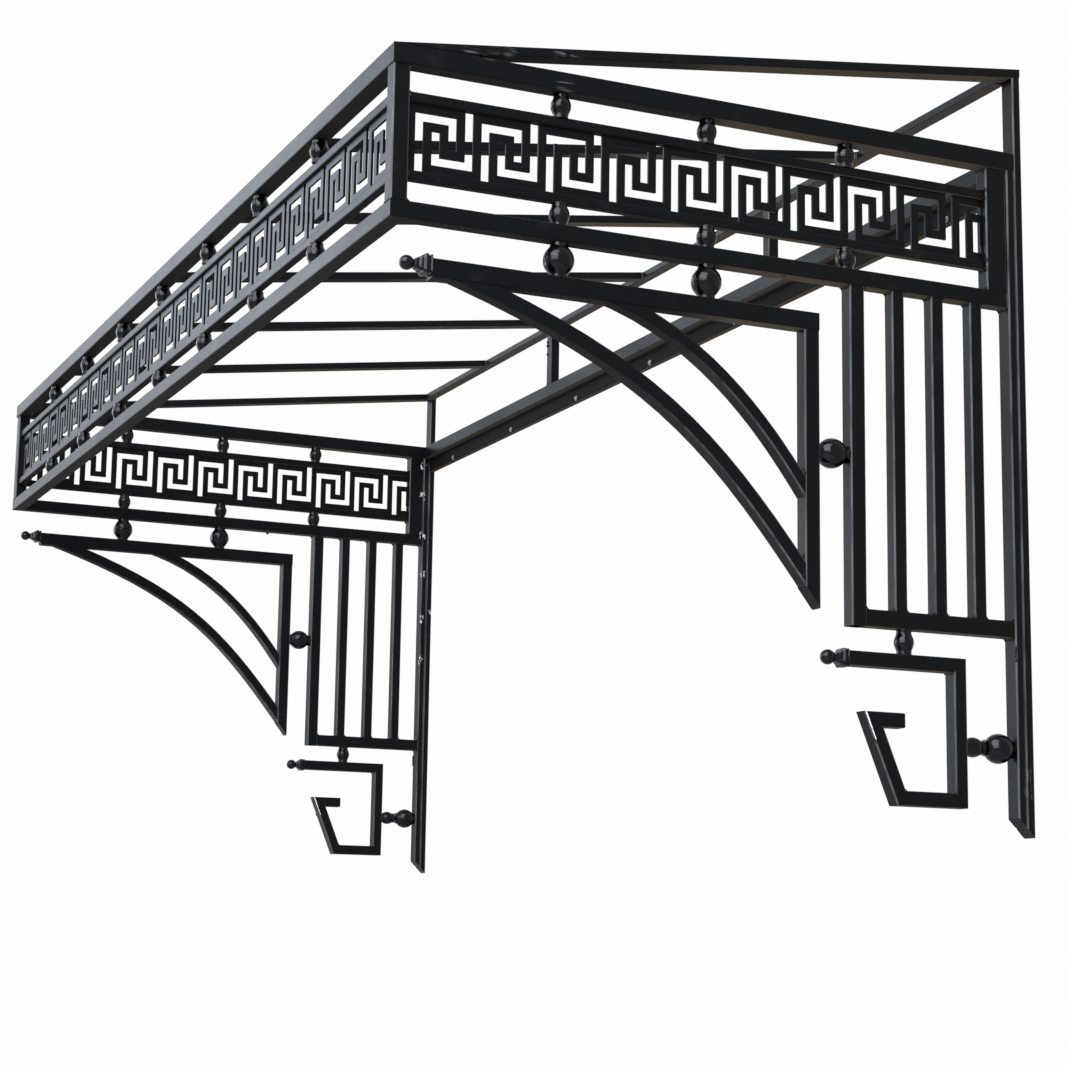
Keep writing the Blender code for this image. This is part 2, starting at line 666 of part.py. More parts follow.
def make_bracket(side, name):
    x = side * PANEL_MIDDLE
    size = (PANEL_TUBE, PANEL_TUBE)
    bar_height = BRACKET_TOP - BRACKET_BAR_HEIGHT / 2
    top_bar = tube(
        f"{name}_bracket_top_bar",
        [(x, BRACKET_FRONT_FACE, bar_height), (x, BRACKET_REAR_FACE, bar_height)],
        X_AXIS,
        (PANEL_TUBE, BRACKET_BAR_HEIGHT),
    )
    places = [(x, -SIDE_BALL_MIDDLE + step * SIDE_BALL_PITCH, BRACKET_TOP) for step in (-1, 0)]
    top_balls = balls(f"{name}_bracket_balls", places, Z_AXIS, LARGE_BALL, LARGE_COLLAR, BRACKET_GAP)
    combine(top_bar, top_balls, "UNION")

    rear_y = BRACKET_REAR_FACE - PANEL_TUBE / 2
    arc_foot, arc_way = arc_underside_at(on_bracket(OUTER_ARC), OUTER_ARC_THICKNESS, BRACKET_BAR_FRONT)
    slope = arc_way.z / arc_way.y
    foot_cut = Vector((0.0, -slope, 1.0)).normalized()
    rear_bar = tube(
        f"{name}_bracket_rear_bar",
        [(x, rear_y, arc_foot + slope * PANEL_TUBE / 2), (x, rear_y, BRACKET_UNDERSIDE - CLEARANCE)],
        X_AXIS,
        size,
        (foot_cut, None),
    )
    ball_base = (x, BRACKET_REAR_FACE, -BRACKET_BALL_HEIGHT)
    rear_ball = balls(f"{name}_rear_ball", [ball_base], Y_AXIS, LARGE_BALL, LARGE_COLLAR, REAR_GAP)
    combine(rear_bar, rear_ball, "UNION")
    tip_low = (x - PANEL_TUBE, BRACKET_BAR_FRONT - PANEL_TUBE, 2 * BRACKET_TIP)
    tip_high = (x + PANEL_TUBE, BRACKET_REAR_FACE + PANEL_TUBE, BRACKET_TIP)
    combine(rear_bar, box(f"{name}_tip_cut", tip_low, tip_high), "DIFFERENCE")

    make_arc(f"{name}_bracket_outer_arc", x, on_bracket(OUTER_ARC), OUTER_ARC_THICKNESS)
    make_arc(f"{name}_bracket_inner_arc", x, on_bracket(INNER_ARC), INNER_ARC_THICKNESS)
    base = Vector((x, BRACKET_FRONT_FACE - CLEARANCE, bar_height + BRACKET_FINIAL_RAISE))
    finial(f"{name}_bracket_finial", base, BRACKET_FINIAL_HALF, BRACKET_FINIAL_STEP, BRACKET_FINIAL_BALL)


def make_arc(name, x, handles, thickness):
    """A bent tube, cut off by the bar above it and by the upright bar behind it."""
    points = [point + X_AXIS * x for point in curve_points(handles, ARC_STEPS)]
    arc = tube(name, points, X_AXIS, (PANEL_TUBE, thickness))
    over_low = (x - PANEL_TUBE, -2 * DEPTH, BRACKET_UNDERSIDE - CLEARANCE)
    over_high = (x + PANEL_TUBE, 0.0, FASCIA_HEIGHT)
    combine(arc, box(f"{name}_upper_cut", over_low, over_high), "DIFFERENCE")
    behind_low = (x - PANEL_TUBE, BRACKET_BAR_FRONT - CLEARANCE, 2 * BRACKET_TIP)
    behind_high = (x + PANEL_TUBE, 0.0, FASCIA_HEIGHT)
    combine(arc, box(f"{name}_rear_cut", behind_low, behind_high), "DIFFERENCE")


def make_grille(side, name):
    x = side * PANEL_MIDDLE
    square = (PANEL_TUBE, PANEL_TUBE)
    high = -CLEARANCE
    y = GRILLE_FRONT_FACE + PANEL_TUBE / 2
    tube(f"{name}_grille_front_bar", [(x, y, -GRILLE_DROP), (x, y, high)], X_AXIS, square)
    rear = -POST_DEPTH
    opening = rear - GRILLE_REAR_OF_FRONT_BAR - GRILLE_BARS * GRILLE_BAR_DEPTH
    space = opening / (GRILLE_BARS + 1)
    bar_x = side * (PANEL_FACE - GRILLE_BAR_WIDTH / 2)
    for index in range(GRILLE_BARS):
        front = GRILLE_REAR_OF_FRONT_BAR + space + index * (space + GRILLE_BAR_DEPTH)
        y = front + GRILLE_BAR_DEPTH / 2
        tube(
            f"{name}_grille_bar_{index + 1}",
            [(bar_x, y, GRILLE_BOTTOM_TOP + CLEARANCE), (bar_x, y, high)],
            X_AXIS,
            (GRILLE_BAR_WIDTH, GRILLE_BAR_DEPTH),
        )
    height = GRILLE_BOTTOM_TOP - PANEL_TUBE / 2
    bottom = tube(
        f"{name}_grille_bottom_bar",
        [(x, GRILLE_REAR_OF_FRONT_BAR + CLEARANCE, height), (x, rear - CLEARANCE, height)],
        X_AXIS,
        square,
    )
    middle = (HOOK_FRONT_FACE + HOOK_REAR_FACE) / 2
    base = (x, middle, -GRILLE_DROP)
    ball = balls(f"{name}_hang_ball", [base], -Z_AXIS, SMALL_BALL, SMALL_COLLAR, HANG_GAP)
    combine(bottom, ball, "UNION")


def hook_path(x):
    """Centre line of the hook, from the finial back, down, forward and up to the lip."""
    half = HOOK_THICKNESS / 2
    top = HOOK_TOP - half
    rear = HOOK_REAR_FACE - half
    low = HOOK_TOP - HOOK_HEIGHT + half
    lip = HOOK_TOP - HOOK_LIP_DROP - half
    corner_height = low + half
    offset = half * math.hypot(1.0, HOOK_LEAN)

    def leaning(z):
        return HOOK_REAR_FACE - HOOK_INNER_CORNER - HOOK_LEAN * (z - corner_height) - offset

    return [
        (x, HOOK_FRONT_FACE, top),
        (x, rear, top),
        (x, rear, low),
        (x, leaning(low), low),
        (x, leaning(lip), lip),
        (x, HOOK_REAR_FACE - HOOK_LIP_REAR, lip),
    ]


def make_hook(side, name):
    x = side * PANEL_MIDDLE
    path = hook_path(x)
    hook = tube(f"{name}_hook", path, X_AXIS, (PANEL_TUBE, HOOK_THICKNESS), closed_end=True)
    chain = hook_chain(f"{name}_hook_balls", Vector((x, HOOK_REAR_FACE, HOOK_TOP - HOOK_BALL_DROP)))
    combine(hook, chain, "UNION")
    combine(hook, hook_slit(f"{name}_hook_slit", path), "DIFFERENCE")
    base = Vector((x, HOOK_FRONT_FACE - CLEARANCE, HOOK_TOP - HOOK_THICKNESS / 2))
    finial(f"{name}_hook_finial", base, HOOK_FINIAL_HALF, HOOK_FINIAL_STEP, HOOK_FINIAL_BALL)


def hook_chain(name, base):
    """A small ball and a large ball in one turned piece, from the hook to the post."""
    neck_start = SMALL_BALL + CHAIN_COLLAR
    neck_end = neck_start + CHAIN_NECK
    first = ball_profile(SMALL_BALL, SMALL_COLLAR, 0.0, neck_start)
    second = ball_profile(LARGE_BALL, LARGE_COLLAR, neck_end, LARGE_BALL + CHAIN_COLLAR)
    profile = first[:-1] + [(FINIAL_NECK_RADIUS, neck_start), (FINIAL_NECK_RADIUS, neck_end)] + second[1:]
    profile[0] = (profile[0][0], -COLLAR_SINK)
    profile[-1] = (profile[-1][0], CHAIN_LENGTH - CLEARANCE)
    shape = bmesh.new()
    add_closed_skin(shape, turned_rings(base, Y_AXIS, profile, BALL_SIDES))
    return finish(name, shape, BALL_COLOUR, BALL_ROUGHNESS)


def hook_slit(name, path):
    """The open seam behind the lip's front wall, cut down from the top."""
    low = Vector(path[3])
    high = Vector(path[4])
    way = (high - low).normalized()
    front = way.cross(X_AXIS)
    if front.y > 0:
        front = -front
    top = high + way * HOOK_THICKNESS * 2
    bottom = high - way * (HOOK_SLIT_DEPTH - HOOK_THICKNESS / 2)
    near = front * (HOOK_THICKNESS / 2 - TUBE_WALL)
    far = near - front * HOOK_SLIT_WIDTH
    reach = X_AXIS * PANEL_TUBE
    shape = bmesh.new()
    rings = []
    for sideways in (-reach, reach):
        rings.append([spot + sideways for spot in (bottom + near, bottom + far, top + far, top + near)])
    add_closed_skin(shape, rings)
    return finish(name, shape)


def main():
    make_ring(SIDES)
    make_bottom_rails(SIDES)
    make_front_fret()
    for side, name in SIDES:
        make_panel_uprights(side, name)
        make_side_fret(side, name)
        make_bracket(side, name)
        make_grille(side, name)
        make_hook(side, name)
        make_posts(side, name)
    make_wall_rail()
    make_high_rail()
    make_rafters()


clear_scene()
FRAME_ORIGIN = make_frame_origin()
main()
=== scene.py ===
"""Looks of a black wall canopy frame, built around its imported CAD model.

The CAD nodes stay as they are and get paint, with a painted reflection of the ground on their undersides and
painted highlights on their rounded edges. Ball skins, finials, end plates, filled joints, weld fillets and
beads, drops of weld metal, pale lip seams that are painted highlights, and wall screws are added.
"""

from __future__ import annotations

import json
import logging
import math
from collections.abc import Iterable, Sequence
from dataclasses import dataclass, field
from enum import Enum
from typing import Any

import bmesh
import bpy
from mathutils import Matrix, Vector

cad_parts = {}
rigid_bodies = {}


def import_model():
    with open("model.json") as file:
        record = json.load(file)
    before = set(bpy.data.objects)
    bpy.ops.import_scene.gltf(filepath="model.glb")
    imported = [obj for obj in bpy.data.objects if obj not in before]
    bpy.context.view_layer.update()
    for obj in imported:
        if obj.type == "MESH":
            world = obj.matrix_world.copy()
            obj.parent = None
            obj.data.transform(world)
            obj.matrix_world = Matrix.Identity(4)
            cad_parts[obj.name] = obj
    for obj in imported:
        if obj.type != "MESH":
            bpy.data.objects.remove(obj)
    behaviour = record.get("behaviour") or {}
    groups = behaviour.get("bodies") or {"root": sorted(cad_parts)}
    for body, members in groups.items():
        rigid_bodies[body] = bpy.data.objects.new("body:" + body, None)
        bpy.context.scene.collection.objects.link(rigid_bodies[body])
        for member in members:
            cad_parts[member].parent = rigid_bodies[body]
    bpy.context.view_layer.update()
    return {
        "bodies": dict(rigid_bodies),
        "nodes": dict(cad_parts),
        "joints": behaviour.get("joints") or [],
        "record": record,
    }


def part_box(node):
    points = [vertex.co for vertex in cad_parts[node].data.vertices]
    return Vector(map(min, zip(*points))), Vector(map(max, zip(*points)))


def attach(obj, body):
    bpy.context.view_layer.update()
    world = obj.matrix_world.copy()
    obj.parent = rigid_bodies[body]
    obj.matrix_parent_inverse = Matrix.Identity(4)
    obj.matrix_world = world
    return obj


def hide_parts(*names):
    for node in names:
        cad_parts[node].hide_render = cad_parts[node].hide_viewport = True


LOG = logging.getLogger("canopy")
BODY = "root"
SIDES = ((-1, "left"), (1, "right"))
X, Y, Z = range(3)
COOL_LIGHT = (0.72, 0.84, 1.0)
PALE_LIGHT = (0.88, 0.93, 1.0)

# Sizes of the CAD nodes that their boxes can't tell, because the boxes hold balls or bends too
FRET_BAR = 0.020
GRILLE_BAR = 0.035
BRACKET_BAR = 0.038
HOOK_LENGTH = 0.279
HOOK_HEIGHT = 0.306
HOOK_THICKNESS = 0.030

Point = tuple[float, float, float]
Colour = tuple[float, float, float, float]
Pair = tuple[float, float]
Mark = tuple[Point, float]


class Slot(Enum):
    """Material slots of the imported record."""

    FRAME = "frame"
    FINIAL = "finial"


# Node writing


class Value:
    """A node's output socket that takes part in Python sums."""

    def __init__(self, tree: "NodeTree", socket: bpy.types.NodeSocket) -> None:
        """Keeps a tree and one of its output sockets."""
        self.tree = tree
        self.socket = socket

    def __add__(self, other: "Value | float") -> "Value":
        """Returns the sum."""
        return self.tree.maths("ADD", self, other)

    def __mul__(self, other: "Value | float") -> "Value":
        """Returns the product."""
        return self.tree.maths("MULTIPLY", self, other)

    def __sub__(self, other: "Value | float") -> "Value":
        """Returns the difference."""
        return self.tree.maths("SUBTRACT", self, other)

    def __rsub__(self, other: float) -> "Value":
        """Returns the reflected difference, such as 1 - mask."""
        return self.tree.maths("SUBTRACT", other, self)

    def clamp(self) -> "Value":
        """Returns the value held between 0 and 1."""
        return self.tree.node("ShaderNodeClamp", {"Value": self, "Min": 0.0, "Max": 1.0}, "Result")


class NodeTree:
    """Writes nodes into one tree."""

    def __init__(self, tree: bpy.types.NodeTree) -> None:
        """Keeps a tree and empties it."""
        self.tree = tree
        tree.nodes.clear()

    def node(
        self,
        kind: str,
        sockets: dict[str | int, Any] | None = None,
        output: str | int = 0,
        **settings: Any,
    ) -> Value:
        """Adds a node.

        Args:
            kind: The node's type.
            sockets: Values or links by input name or number.
            output: The output to return.
            settings: Properties of the node, set before its sockets.

        Returns:
            The chosen output.
        """
        made = self.tree.nodes.new(kind)
        for key, value in settings.items():
            setattr(made, key, value)
        for key, value in (sockets or {}).items():
            if isinstance(value, Value):
                self.link(value, made.inputs[key])
            else:
                made.inputs[key].default_value = value
        return Value(self, made.outputs[output])

    def link(self, value: Value, target: bpy.types.NodeSocket) -> None:
        """Links a value to an input socket."""
        self.tree.links.new(value.socket, target)

    def end(self, kind: str, value: Value) -> None:
        """Adds an output node of some type and links a value to its first input."""
        self.link(value, self.tree.nodes.new(kind).inputs[0])

    def maths(self, operation: str, *values: Value | float) -> Value:
        """Adds a Math node with those inputs and returns its result."""
        return self.node("ShaderNodeMath", dict(enumerate(values)), operation=operation)

    def vector_maths(self, operation: str, *values: Any, output: str = "Vector") -> Value:
        """Adds a Vector Math node with those inputs and returns one of its results."""
        return self.node("ShaderNodeVectorMath", dict(enumerate(values)), output, operation=operation)

    def scaled(self, vector: Value, scale: Value | float) -> Value:
        """Returns a vector times a number."""
        return self.node("ShaderNodeVectorMath", {0: vector, "Scale": scale}, operation="SCALE")

    def part(self, vector: Value, axis: str) -> Value:
        """Returns the X, Y or Z part of a vector."""
        return self.node("ShaderNodeSeparateXYZ", {0: vector}, axis)

    def ramp(self, value: Value, low: float, high: float) -> Value:
        """Returns 0 below low and 1 above high, with a smooth step between."""
        sockets = {"Value": value, "From Min": low, "From Max": high}
        return self.node("ShaderNodeMapRange", sockets, "Result", interpolation_type="SMOOTHSTEP")

    def mix(self, mask: Value | float, first: Any, second: Any) -> Value:
        """Mixes two colours, each a socket or an RGBA tuple, and returns the colour."""
        return self.node("ShaderNodeMix", {0: mask, 6: first, 7: second}, 2, data_type="RGBA")


@dataclass(frozen=True)
class Grain:
    """A noise texture's cells per metre, octaves, weight of the finer octaves and scale of each axis."""

    scale: float
    detail: float
    roughness: float
    stretch: Point = (1.0, 1.0, 1.0)


@dataclass(frozen=True)
class Relief:
    """A Bump node's strength and its height in metres."""

    strength: float
    distance: float


class ShaderTree(NodeTree):
    """Writes one material's nodes."""

    def __init__(self, name: str) -> None:
        """Starts an empty material.

        Args:
            name: The material's name.
        """
        self.material = bpy.data.materials.new(name)
        self.material.use_nodes = True
        super().__init__(self.material.node_tree)

    def place(self) -> Value:
        """Returns Object coordinates, which are the frame's own metres."""
        return self.node("ShaderNodeTexCoord", output="Object")

    def noise(self, grain: Grain) -> Value:
        """Adds a noise texture.

        Args:
            grain: Its settings.

        Returns:
            The noise, from about 0 to 1.
        """
        where = self.node("ShaderNodeMapping", {"Vector": self.place(), "Scale": grain.stretch})
        sockets = {"Vector": where, "Scale": grain.scale, "Detail": grain.detail}
        return self.node("ShaderNodeTexNoise", {**sockets, "Roughness": grain.roughness})

    def near(self, place: Point, reach: float) -> Value:
        """Returns 1 around a place, falling to 0 at some reach from it."""
        away = self.vector_maths("DISTANCE", self.place(), place, output="Value")
        return 1.0 - self.ramp(away, reach * 0.35, reach)

    def upward(self) -> Value:
        """Returns how far the surface faces up, from -1 to 1."""
        return self.part(self.node("ShaderNodeNewGeometry", output="Normal"), "Z")

    def rounding(self) -> Value:
        """Returns how far the surface turns from one upright face to the next, 0 on flat faces."""
        normal = self.node("ShaderNodeNewGeometry", output="True Normal")
        return self.maths("ABSOLUTE", self.part(normal, "X") * self.part(normal, "Y"))

    def depth(self) -> Value:
        """Returns the place's depth, from the front at about -1.4 to the wall at 0."""
        return self.part(self.place(), "Y")

    def bump(self, height: Value, relief: Relief, under: Value | None = None) -> Value:
        """Adds a Bump node.

        Args:
            height: The height, from 0 to 1.
            relief: The node's settings.
            under: The normal that it adds to, if there is one.

        Returns:
            The normal.
        """
        sockets = {"Height": height, "Strength": relief.strength, "Distance": relief.distance}
        return self.node("ShaderNodeBump", sockets if under is None else {**sockets, "Normal": under})

    def surface(self, colour: Value, roughness: Value | float, **sockets: Any) -> bpy.types.Material:
        """Ends the tree in a Principled shader.

        Args:
            colour: The base colour.
            roughness: The roughness.
            sockets: Values or links of other inputs, by their names with underscores for spaces.

        Returns:
            The finished material.
        """
        others = {name.replace("_", " "): value for name, value in sockets.items()}
        sockets = {"Base Color": colour, "Roughness": roughness, "Metallic": 0.0, **others}
        self.end("ShaderNodeOutputMaterial", self.node("ShaderNodeBsdfPrincipled", sockets))
        return self.material


# Finishes


@dataclass(frozen=True)
class BlackPaint:
    """Brushed and sprayed black paint on steel tube, with grey dust on top and small worn spots, a painted
    reflection of warm ground on the faces that look down and painted highlights on the rounded edges.
    """

    name: str = "satin_black_paint"
    colour: Colour = (0.0028, 0.0030, 0.0037, 1.0)
    gloss: float = 0.070
    roughness: float = 0.34

    patches: Grain = Grain(2.4, 4.0, 0.6)
    grime: Grain = Grain(17.0, 5.0, 0.65)
    streaks: Grain = Grain(9.0, 3.0, 0.6, (6.0, 6.0, 0.7))
    patch_roughness: float = 0.14
    grime_roughness: float = 0.10
    mean_roughness: float = 0.12

    specks: Grain = Grain(150.0, 2.0, 0.5)
    worn_colour: Colour = (0.015, 0.015, 0.016, 1.0)
    worn_grime: Pair = (0.56, 0.78)
    worn_grime_share: float = 0.7
    worn_specks: Pair = (0.70, 0.76)
    worn_speck_share: float = 0.5
    worn_share: float = 0.45

    # Painted reflection: faces that look down get a warm brown that stands for the ground's light reflected
    # in them, stronger towards the wall. The under_ and warm_ fields below set it.
    painted_reflection_colour: Colour = (0.080, 0.064, 0.044, 1.0)
    under_slope: Pair = (0.70, 0.98)
    under_patch_share: float = 0.55
    under_least: float = 0.45
    under_roughness: float = 0.40
    warm_depths: Pair = (-0.78, -0.62)
    warm_wander: float = 0.12
    warm_spread: float = 0.9
    warm_least: float = 0.1

    # Painted highlight: a pale bluish grey along the rounded edges between upright faces, standing for sky
    # light caught there.
    painted_highlight_colour: Colour = (0.072, 0.078, 0.087, 1.0)
    edge_rounding: Pair = (0.15, 0.32)
    edge_streaks: Pair = (0.30, 0.65)
    edge_spread: float = 0.7
    edge_least: float = 0.3

    dust_colour: Colour = (0.13, 0.12, 0.105, 1.0)
    dust_slope: Pair = (0.35, 0.95)
    dust_streaks: Pair = (0.20, 0.85)
    dust_spread: float = 0.14
    dust_least: float = 0.05
    dust_roughness: float = 0.5

    scuffs: tuple[Mark, ...] = ()
    scuff_grain: Grain = Grain(70.0, 5.0, 0.6, (0.5, 0.18, 2.6))
    scuff_colour: Colour = (0.11, 0.11, 0.11, 1.0)
    scuff_levels: Pair = (0.46, 0.68)
    scuff_share: float = 0.65

    chips: tuple[Mark, ...] = ()
    chip_grain: Grain = Grain(150.0, 3.0, 0.6, (1.0, 1.0, 0.45))
    chip_colour: Colour = (0.42, 0.42, 0.41, 1.0)
    chip_levels: Pair = (0.745, 0.775)
    chip_gather: float = 0.22

    ripple: Grain = Grain(38.0, 2.0, 0.5)
    ripple_relief: Relief = Relief(0.10, 0.0006)
    peel: Grain = Grain(420.0, 2.0, 0.5)
    peel_relief: Relief = Relief(0.16, 0.00025)

    def _worn(self, tree: ShaderTree, grime: Value) -> Value:
        """Adds worn spots to the paint's colour.

        Args:
            tree: The material's nodes.
            grime: The noise that wear follows.

        Returns:
            The colour.
        """
        worn = tree.ramp(grime, *self.worn_grime) * self.worn_grime_share
        specks = tree.ramp(tree.noise(self.specks), *self.worn_specks) * self.worn_speck_share
        return tree.mix((worn + specks).clamp() * self.worn_share, self.colour, self.worn_colour)

    def _marked(self, tree: ShaderTree, coloured: Value) -> Value:
        """Adds scuffs and chips to a colour.

        Args:
            tree: The material's nodes.
            coloured: The colour so far.

        Returns:
            The colour.
        """
        scratches = tree.noise(self.scuff_grain)
        for place, reach in self.scuffs:
            scuffed = tree.near(place, reach) * tree.ramp(scratches, *self.scuff_levels) * self.scuff_share
            coloured = tree.mix(scuffed, coloured, self.scuff_colour)
        flakes = tree.noise(self.chip_grain)
        for place, reach in self.chips:
            near = tree.near(place, reach)
            chipped = near * tree.ramp(near * self.chip_gather + flakes, *self.chip_levels)
            coloured = tree.mix(chipped, coloured, self.chip_colour)
        return coloured

    def make(self) -> bpy.types.Material:
        """Writes the material's nodes.

        Returns:
            The material.
        """
        tree = ShaderTree(self.name)
        patches = tree.noise(self.patches)
        grime = tree.noise(self.grime)
        streaks = tree.noise(self.streaks)
        # Painted reflection of the warm ground on the faces that look down, stronger towards the wall.
        under = tree.ramp(0.0 - tree.upward(), *self.under_slope)
        depth = tree.depth() + grime * self.warm_wander
        warmth = tree.ramp(depth, *self.warm_depths) * self.warm_spread + self.warm_least
        ground_reflection_mask = under * warmth * (patches * self.under_patch_share + self.under_least)
        coloured = tree.mix(ground_reflection_mask, self._worn(tree, grime), self.painted_reflection_colour)
        # Painted highlight along the rounded edges between upright faces, uneven along streaks.
        uneven = tree.ramp(streaks, *self.edge_streaks) * self.edge_spread + self.edge_least
        edges = tree.ramp(tree.rounding(), *self.edge_rounding) * uneven
        coloured = tree.mix(edges, coloured, self.painted_highlight_colour)
        dusty = tree.ramp(streaks, *self.dust_streaks) * self.dust_spread + self.dust_least
        dust = tree.ramp(tree.upward(), *self.dust_slope) * dusty
        coloured = self._marked(tree, tree.mix(dust, coloured, self.dust_colour))
        rough = patches * self.patch_roughness + grime * self.grime_roughness
        rough = rough + (self.roughness - self.mean_roughness)
        rough = rough + dust * self.dust_roughness + under * self.under_roughness
        soft = tree.bump(tree.noise(self.ripple), self.ripple_relief)
        normal = tree.bump(tree.noise(self.peel), self.peel_relief, soft)
        return tree.surface(coloured, rough.clamp(), Specular_IOR_Level=self.gloss, Normal=normal)


@dataclass(frozen=True)
class SpottedFinish:
    """A finish with spots of a second colour and a relief of lumps, or of the same spots without them."""

    name: str
    colour: Colour
    spot_colour: Colour
    spots: Grain
    spot_levels: Pair
    roughness: float
    roughness_spread: float = 0.0
    spot_share: float = 1.0
    metallic: float = 0.0
    gloss: float = 0.5
    lumps: Grain | None = None
    relief: Relief = Relief(0.0, 0.0003)

    def height(self, tree: ShaderTree) -> Value:
        """Returns the height of the relief."""
        return tree.noise(self.lumps or self.spots)

    def make(self) -> bpy.types.Material:
        """Writes the material's nodes.

        Returns:
            The material.
        """
        tree = ShaderTree(self.name)
        spots = tree.noise(self.spots)
        spotted = tree.ramp(spots, *self.spot_levels) * self.spot_share
        return tree.surface(
            tree.mix(spotted, self.colour, self.spot_colour),
            spots * self.roughness_spread + self.roughness,
            Specular_IOR_Level=self.gloss,
            Metallic=self.metallic,
            Normal=tree.bump(self.height(tree), self.relief),
        )


@dataclass(frozen=True)
class BallPaint(SpottedFinish):
    """Glossier black paint on the forged balls and finials, over hammered dents."""

    name: str = "gloss_black_paint"
    colour: Colour = (0.0012, 0.0014, 0.0022, 1.0)
    spot_colour: Colour = (0.0055, 0.0055, 0.0060, 1.0)
    spots: Grain = Grain(26.0, 4.0, 0.6)
    spot_levels: Pair = (0.55, 0.8)
    spot_share: float = 0.5
    roughness: float = 0.06
    roughness_spread: float = 0.16
    gloss: float = 0.16
    relief: Relief = Relief(0.30, 0.0035)
    dent_scale: float = 62.0
    dent_smoothness: float = 0.35

    def height(self, tree: ShaderTree) -> Value:
        """Returns the height of the dents."""
        sockets = {"Vector": tree.place(), "Scale": self.dent_scale, "Smoothness": self.dent_smoothness}
        return tree.node("ShaderNodeTexVoronoi", sockets, "Distance", feature="SMOOTH_F1")


@dataclass(frozen=True)
class WeldPaint(SpottedFinish):
    """Thick paint over weld beads, slightly brighter where it has been rubbed."""

    name: str = "painted_weld"
    colour: Colour = (0.006, 0.0063, 0.007, 1.0)
    spot_colour: Colour = (0.055, 0.053, 0.050, 1.0)
    spots: Grain = Grain(40.0, 3.0, 0.6)
    spot_levels: Pair = (0.58, 0.74)
    spot_share: float = 0.6
    roughness: float = 0.20
    roughness_spread: float = 0.25
    gloss: float = 0.16
    lumps: Grain | None = Grain(300.0, 3.0, 0.6)
    relief: Relief = Relief(0.35, 0.0006)


@dataclass(frozen=True)
class BareMetal(SpottedFinish):
    """Dull zinc on the wall screws, greyed and spotted by the weather."""

    name: str = "zinc_screw"
    colour: Colour = (0.17, 0.165, 0.16, 1.0)
    spot_colour: Colour = (0.12, 0.10, 0.085, 1.0)
    spots: Grain = Grain(240.0, 4.0, 0.6)
    spot_levels: Pair = (0.55, 0.75)
    metallic: float = 0.55
    roughness: float = 0.38
    roughness_spread: float = 0.30
    relief: Relief = Relief(0.2, 0.0003)


@dataclass(frozen=True)
class PaleLipHighlight(SpottedFinish):
    """A pale strip in the seams of the hooks' lips, smooth and with no paint on it: a painted highlight for
    the bright line along each seam.
    """

    name: str = "painted_lip_highlight"
    colour: Colour = (0.88, 0.87, 0.84, 1.0)
    spot_colour: Colour = (0.55, 0.54, 0.51, 1.0)
    spots: Grain = Grain(180.0, 3.0, 0.6)
    spot_levels: Pair = (0.45, 0.65)
    roughness: float = 0.6


@dataclass(frozen=True)
class Marks:
    """Where the paint is scuffed and chipped: places on the frame, each with its reach."""

    near_corner: tuple[Mark, ...] = (
        ((1.727, -1.2860, 0.0705), 0.024),
        ((1.727, -1.2480, 0.0730), 0.026),
        ((1.727, -1.2050, 0.0765), 0.020),
        ((1.727, -1.0983, 0.0890), 0.017),
        ((1.727, -1.0600, 0.0945), 0.020),
        ((1.727, -1.0865, 0.0250), 0.026),
    )
    near_foot: tuple[Mark, ...] = (
        ((1.727, -0.0100, -1.2850), 0.024),
        ((1.727, -0.0110, -1.3160), 0.020),
    )
    far_edge: Pair = (-1.687, -0.0415)
    far_edge_heights: tuple[float, ...] = (-0.012, -0.115, -0.258, -0.391, -0.547, -0.690)
    far_edge_reach: float = 0.026
    far_wall_post: Mark = ((-1.687, -0.0045, -0.520), 0.018)

    @property
    def far_chips(self) -> tuple[Mark, ...]:
        """The chips down the far post's inner front edge."""
        return tuple(((*self.far_edge, height), self.far_edge_reach) for height in self.far_edge_heights)


@dataclass(frozen=True)
class Finishes:
    """The materials of the whole object."""

    frame: bpy.types.Material
    ball: bpy.types.Material
    weld: bpy.types.Material
    screw: bpy.types.Material
    filler: bpy.types.Material
    post: bpy.types.Material
    wall_rail: bpy.types.Material

    @classmethod
    def make(cls) -> "Finishes":
        """Makes each material once.

        Returns:
            All finishes.
        """
        marks = Marks()
        chips = marks.far_chips
        upright_scratches = Grain(70.0, 5.0, 0.6, (0.5, 2.4, 0.4))
        matt_colour = (0.0042, 0.0040, 0.0038, 1.0)
        return cls(
            frame=BlackPaint(scuffs=marks.near_corner, chips=chips).make(),
            ball=BallPaint().make(),
            weld=WeldPaint().make(),
            screw=BareMetal().make(),
            filler=PaleLipHighlight().make(),
            post=BlackPaint(
                "post_paint",
                scuffs=marks.near_foot,
                scuff_grain=upright_scratches,
                chips=(*chips, marks.far_wall_post),
            ).make(),
            wall_rail=BlackPaint("wall_rail_paint", matt_colour, gloss=0.018, roughness=0.55).make(),
        )


# Meshes and objects


def add_object(name: str, data: bpy.types.ID) -> bpy.types.Object:
    """Adds an object to the scene.

    Args:
        name: The object's name.
        data: Its mesh, camera or lamp.

    Returns:
        The object.
    """
    made = bpy.data.objects.new(name, data)
    bpy.context.scene.collection.objects.link(made)
    return made


def lines_mesh(name: str, lines: Iterable[Sequence[Vector]]) -> bpy.types.Mesh:
    """Makes a mesh of separate lines.

    Args:
        name: The mesh's name.
        lines: The points of each line. A line of one point makes a loose point.

    Returns:
        The mesh.
    """
    points: list[Point] = []
    edges: list[tuple[int, int]] = []
    for line in lines:
        start = len(points)
        points += [tuple(point) for point in line]
        edges += [(start + index, start + index + 1) for index in range(len(line) - 1)]
    mesh = bpy.data.meshes.new(name)
    mesh.from_pydata(points, edges, [])
    return mesh


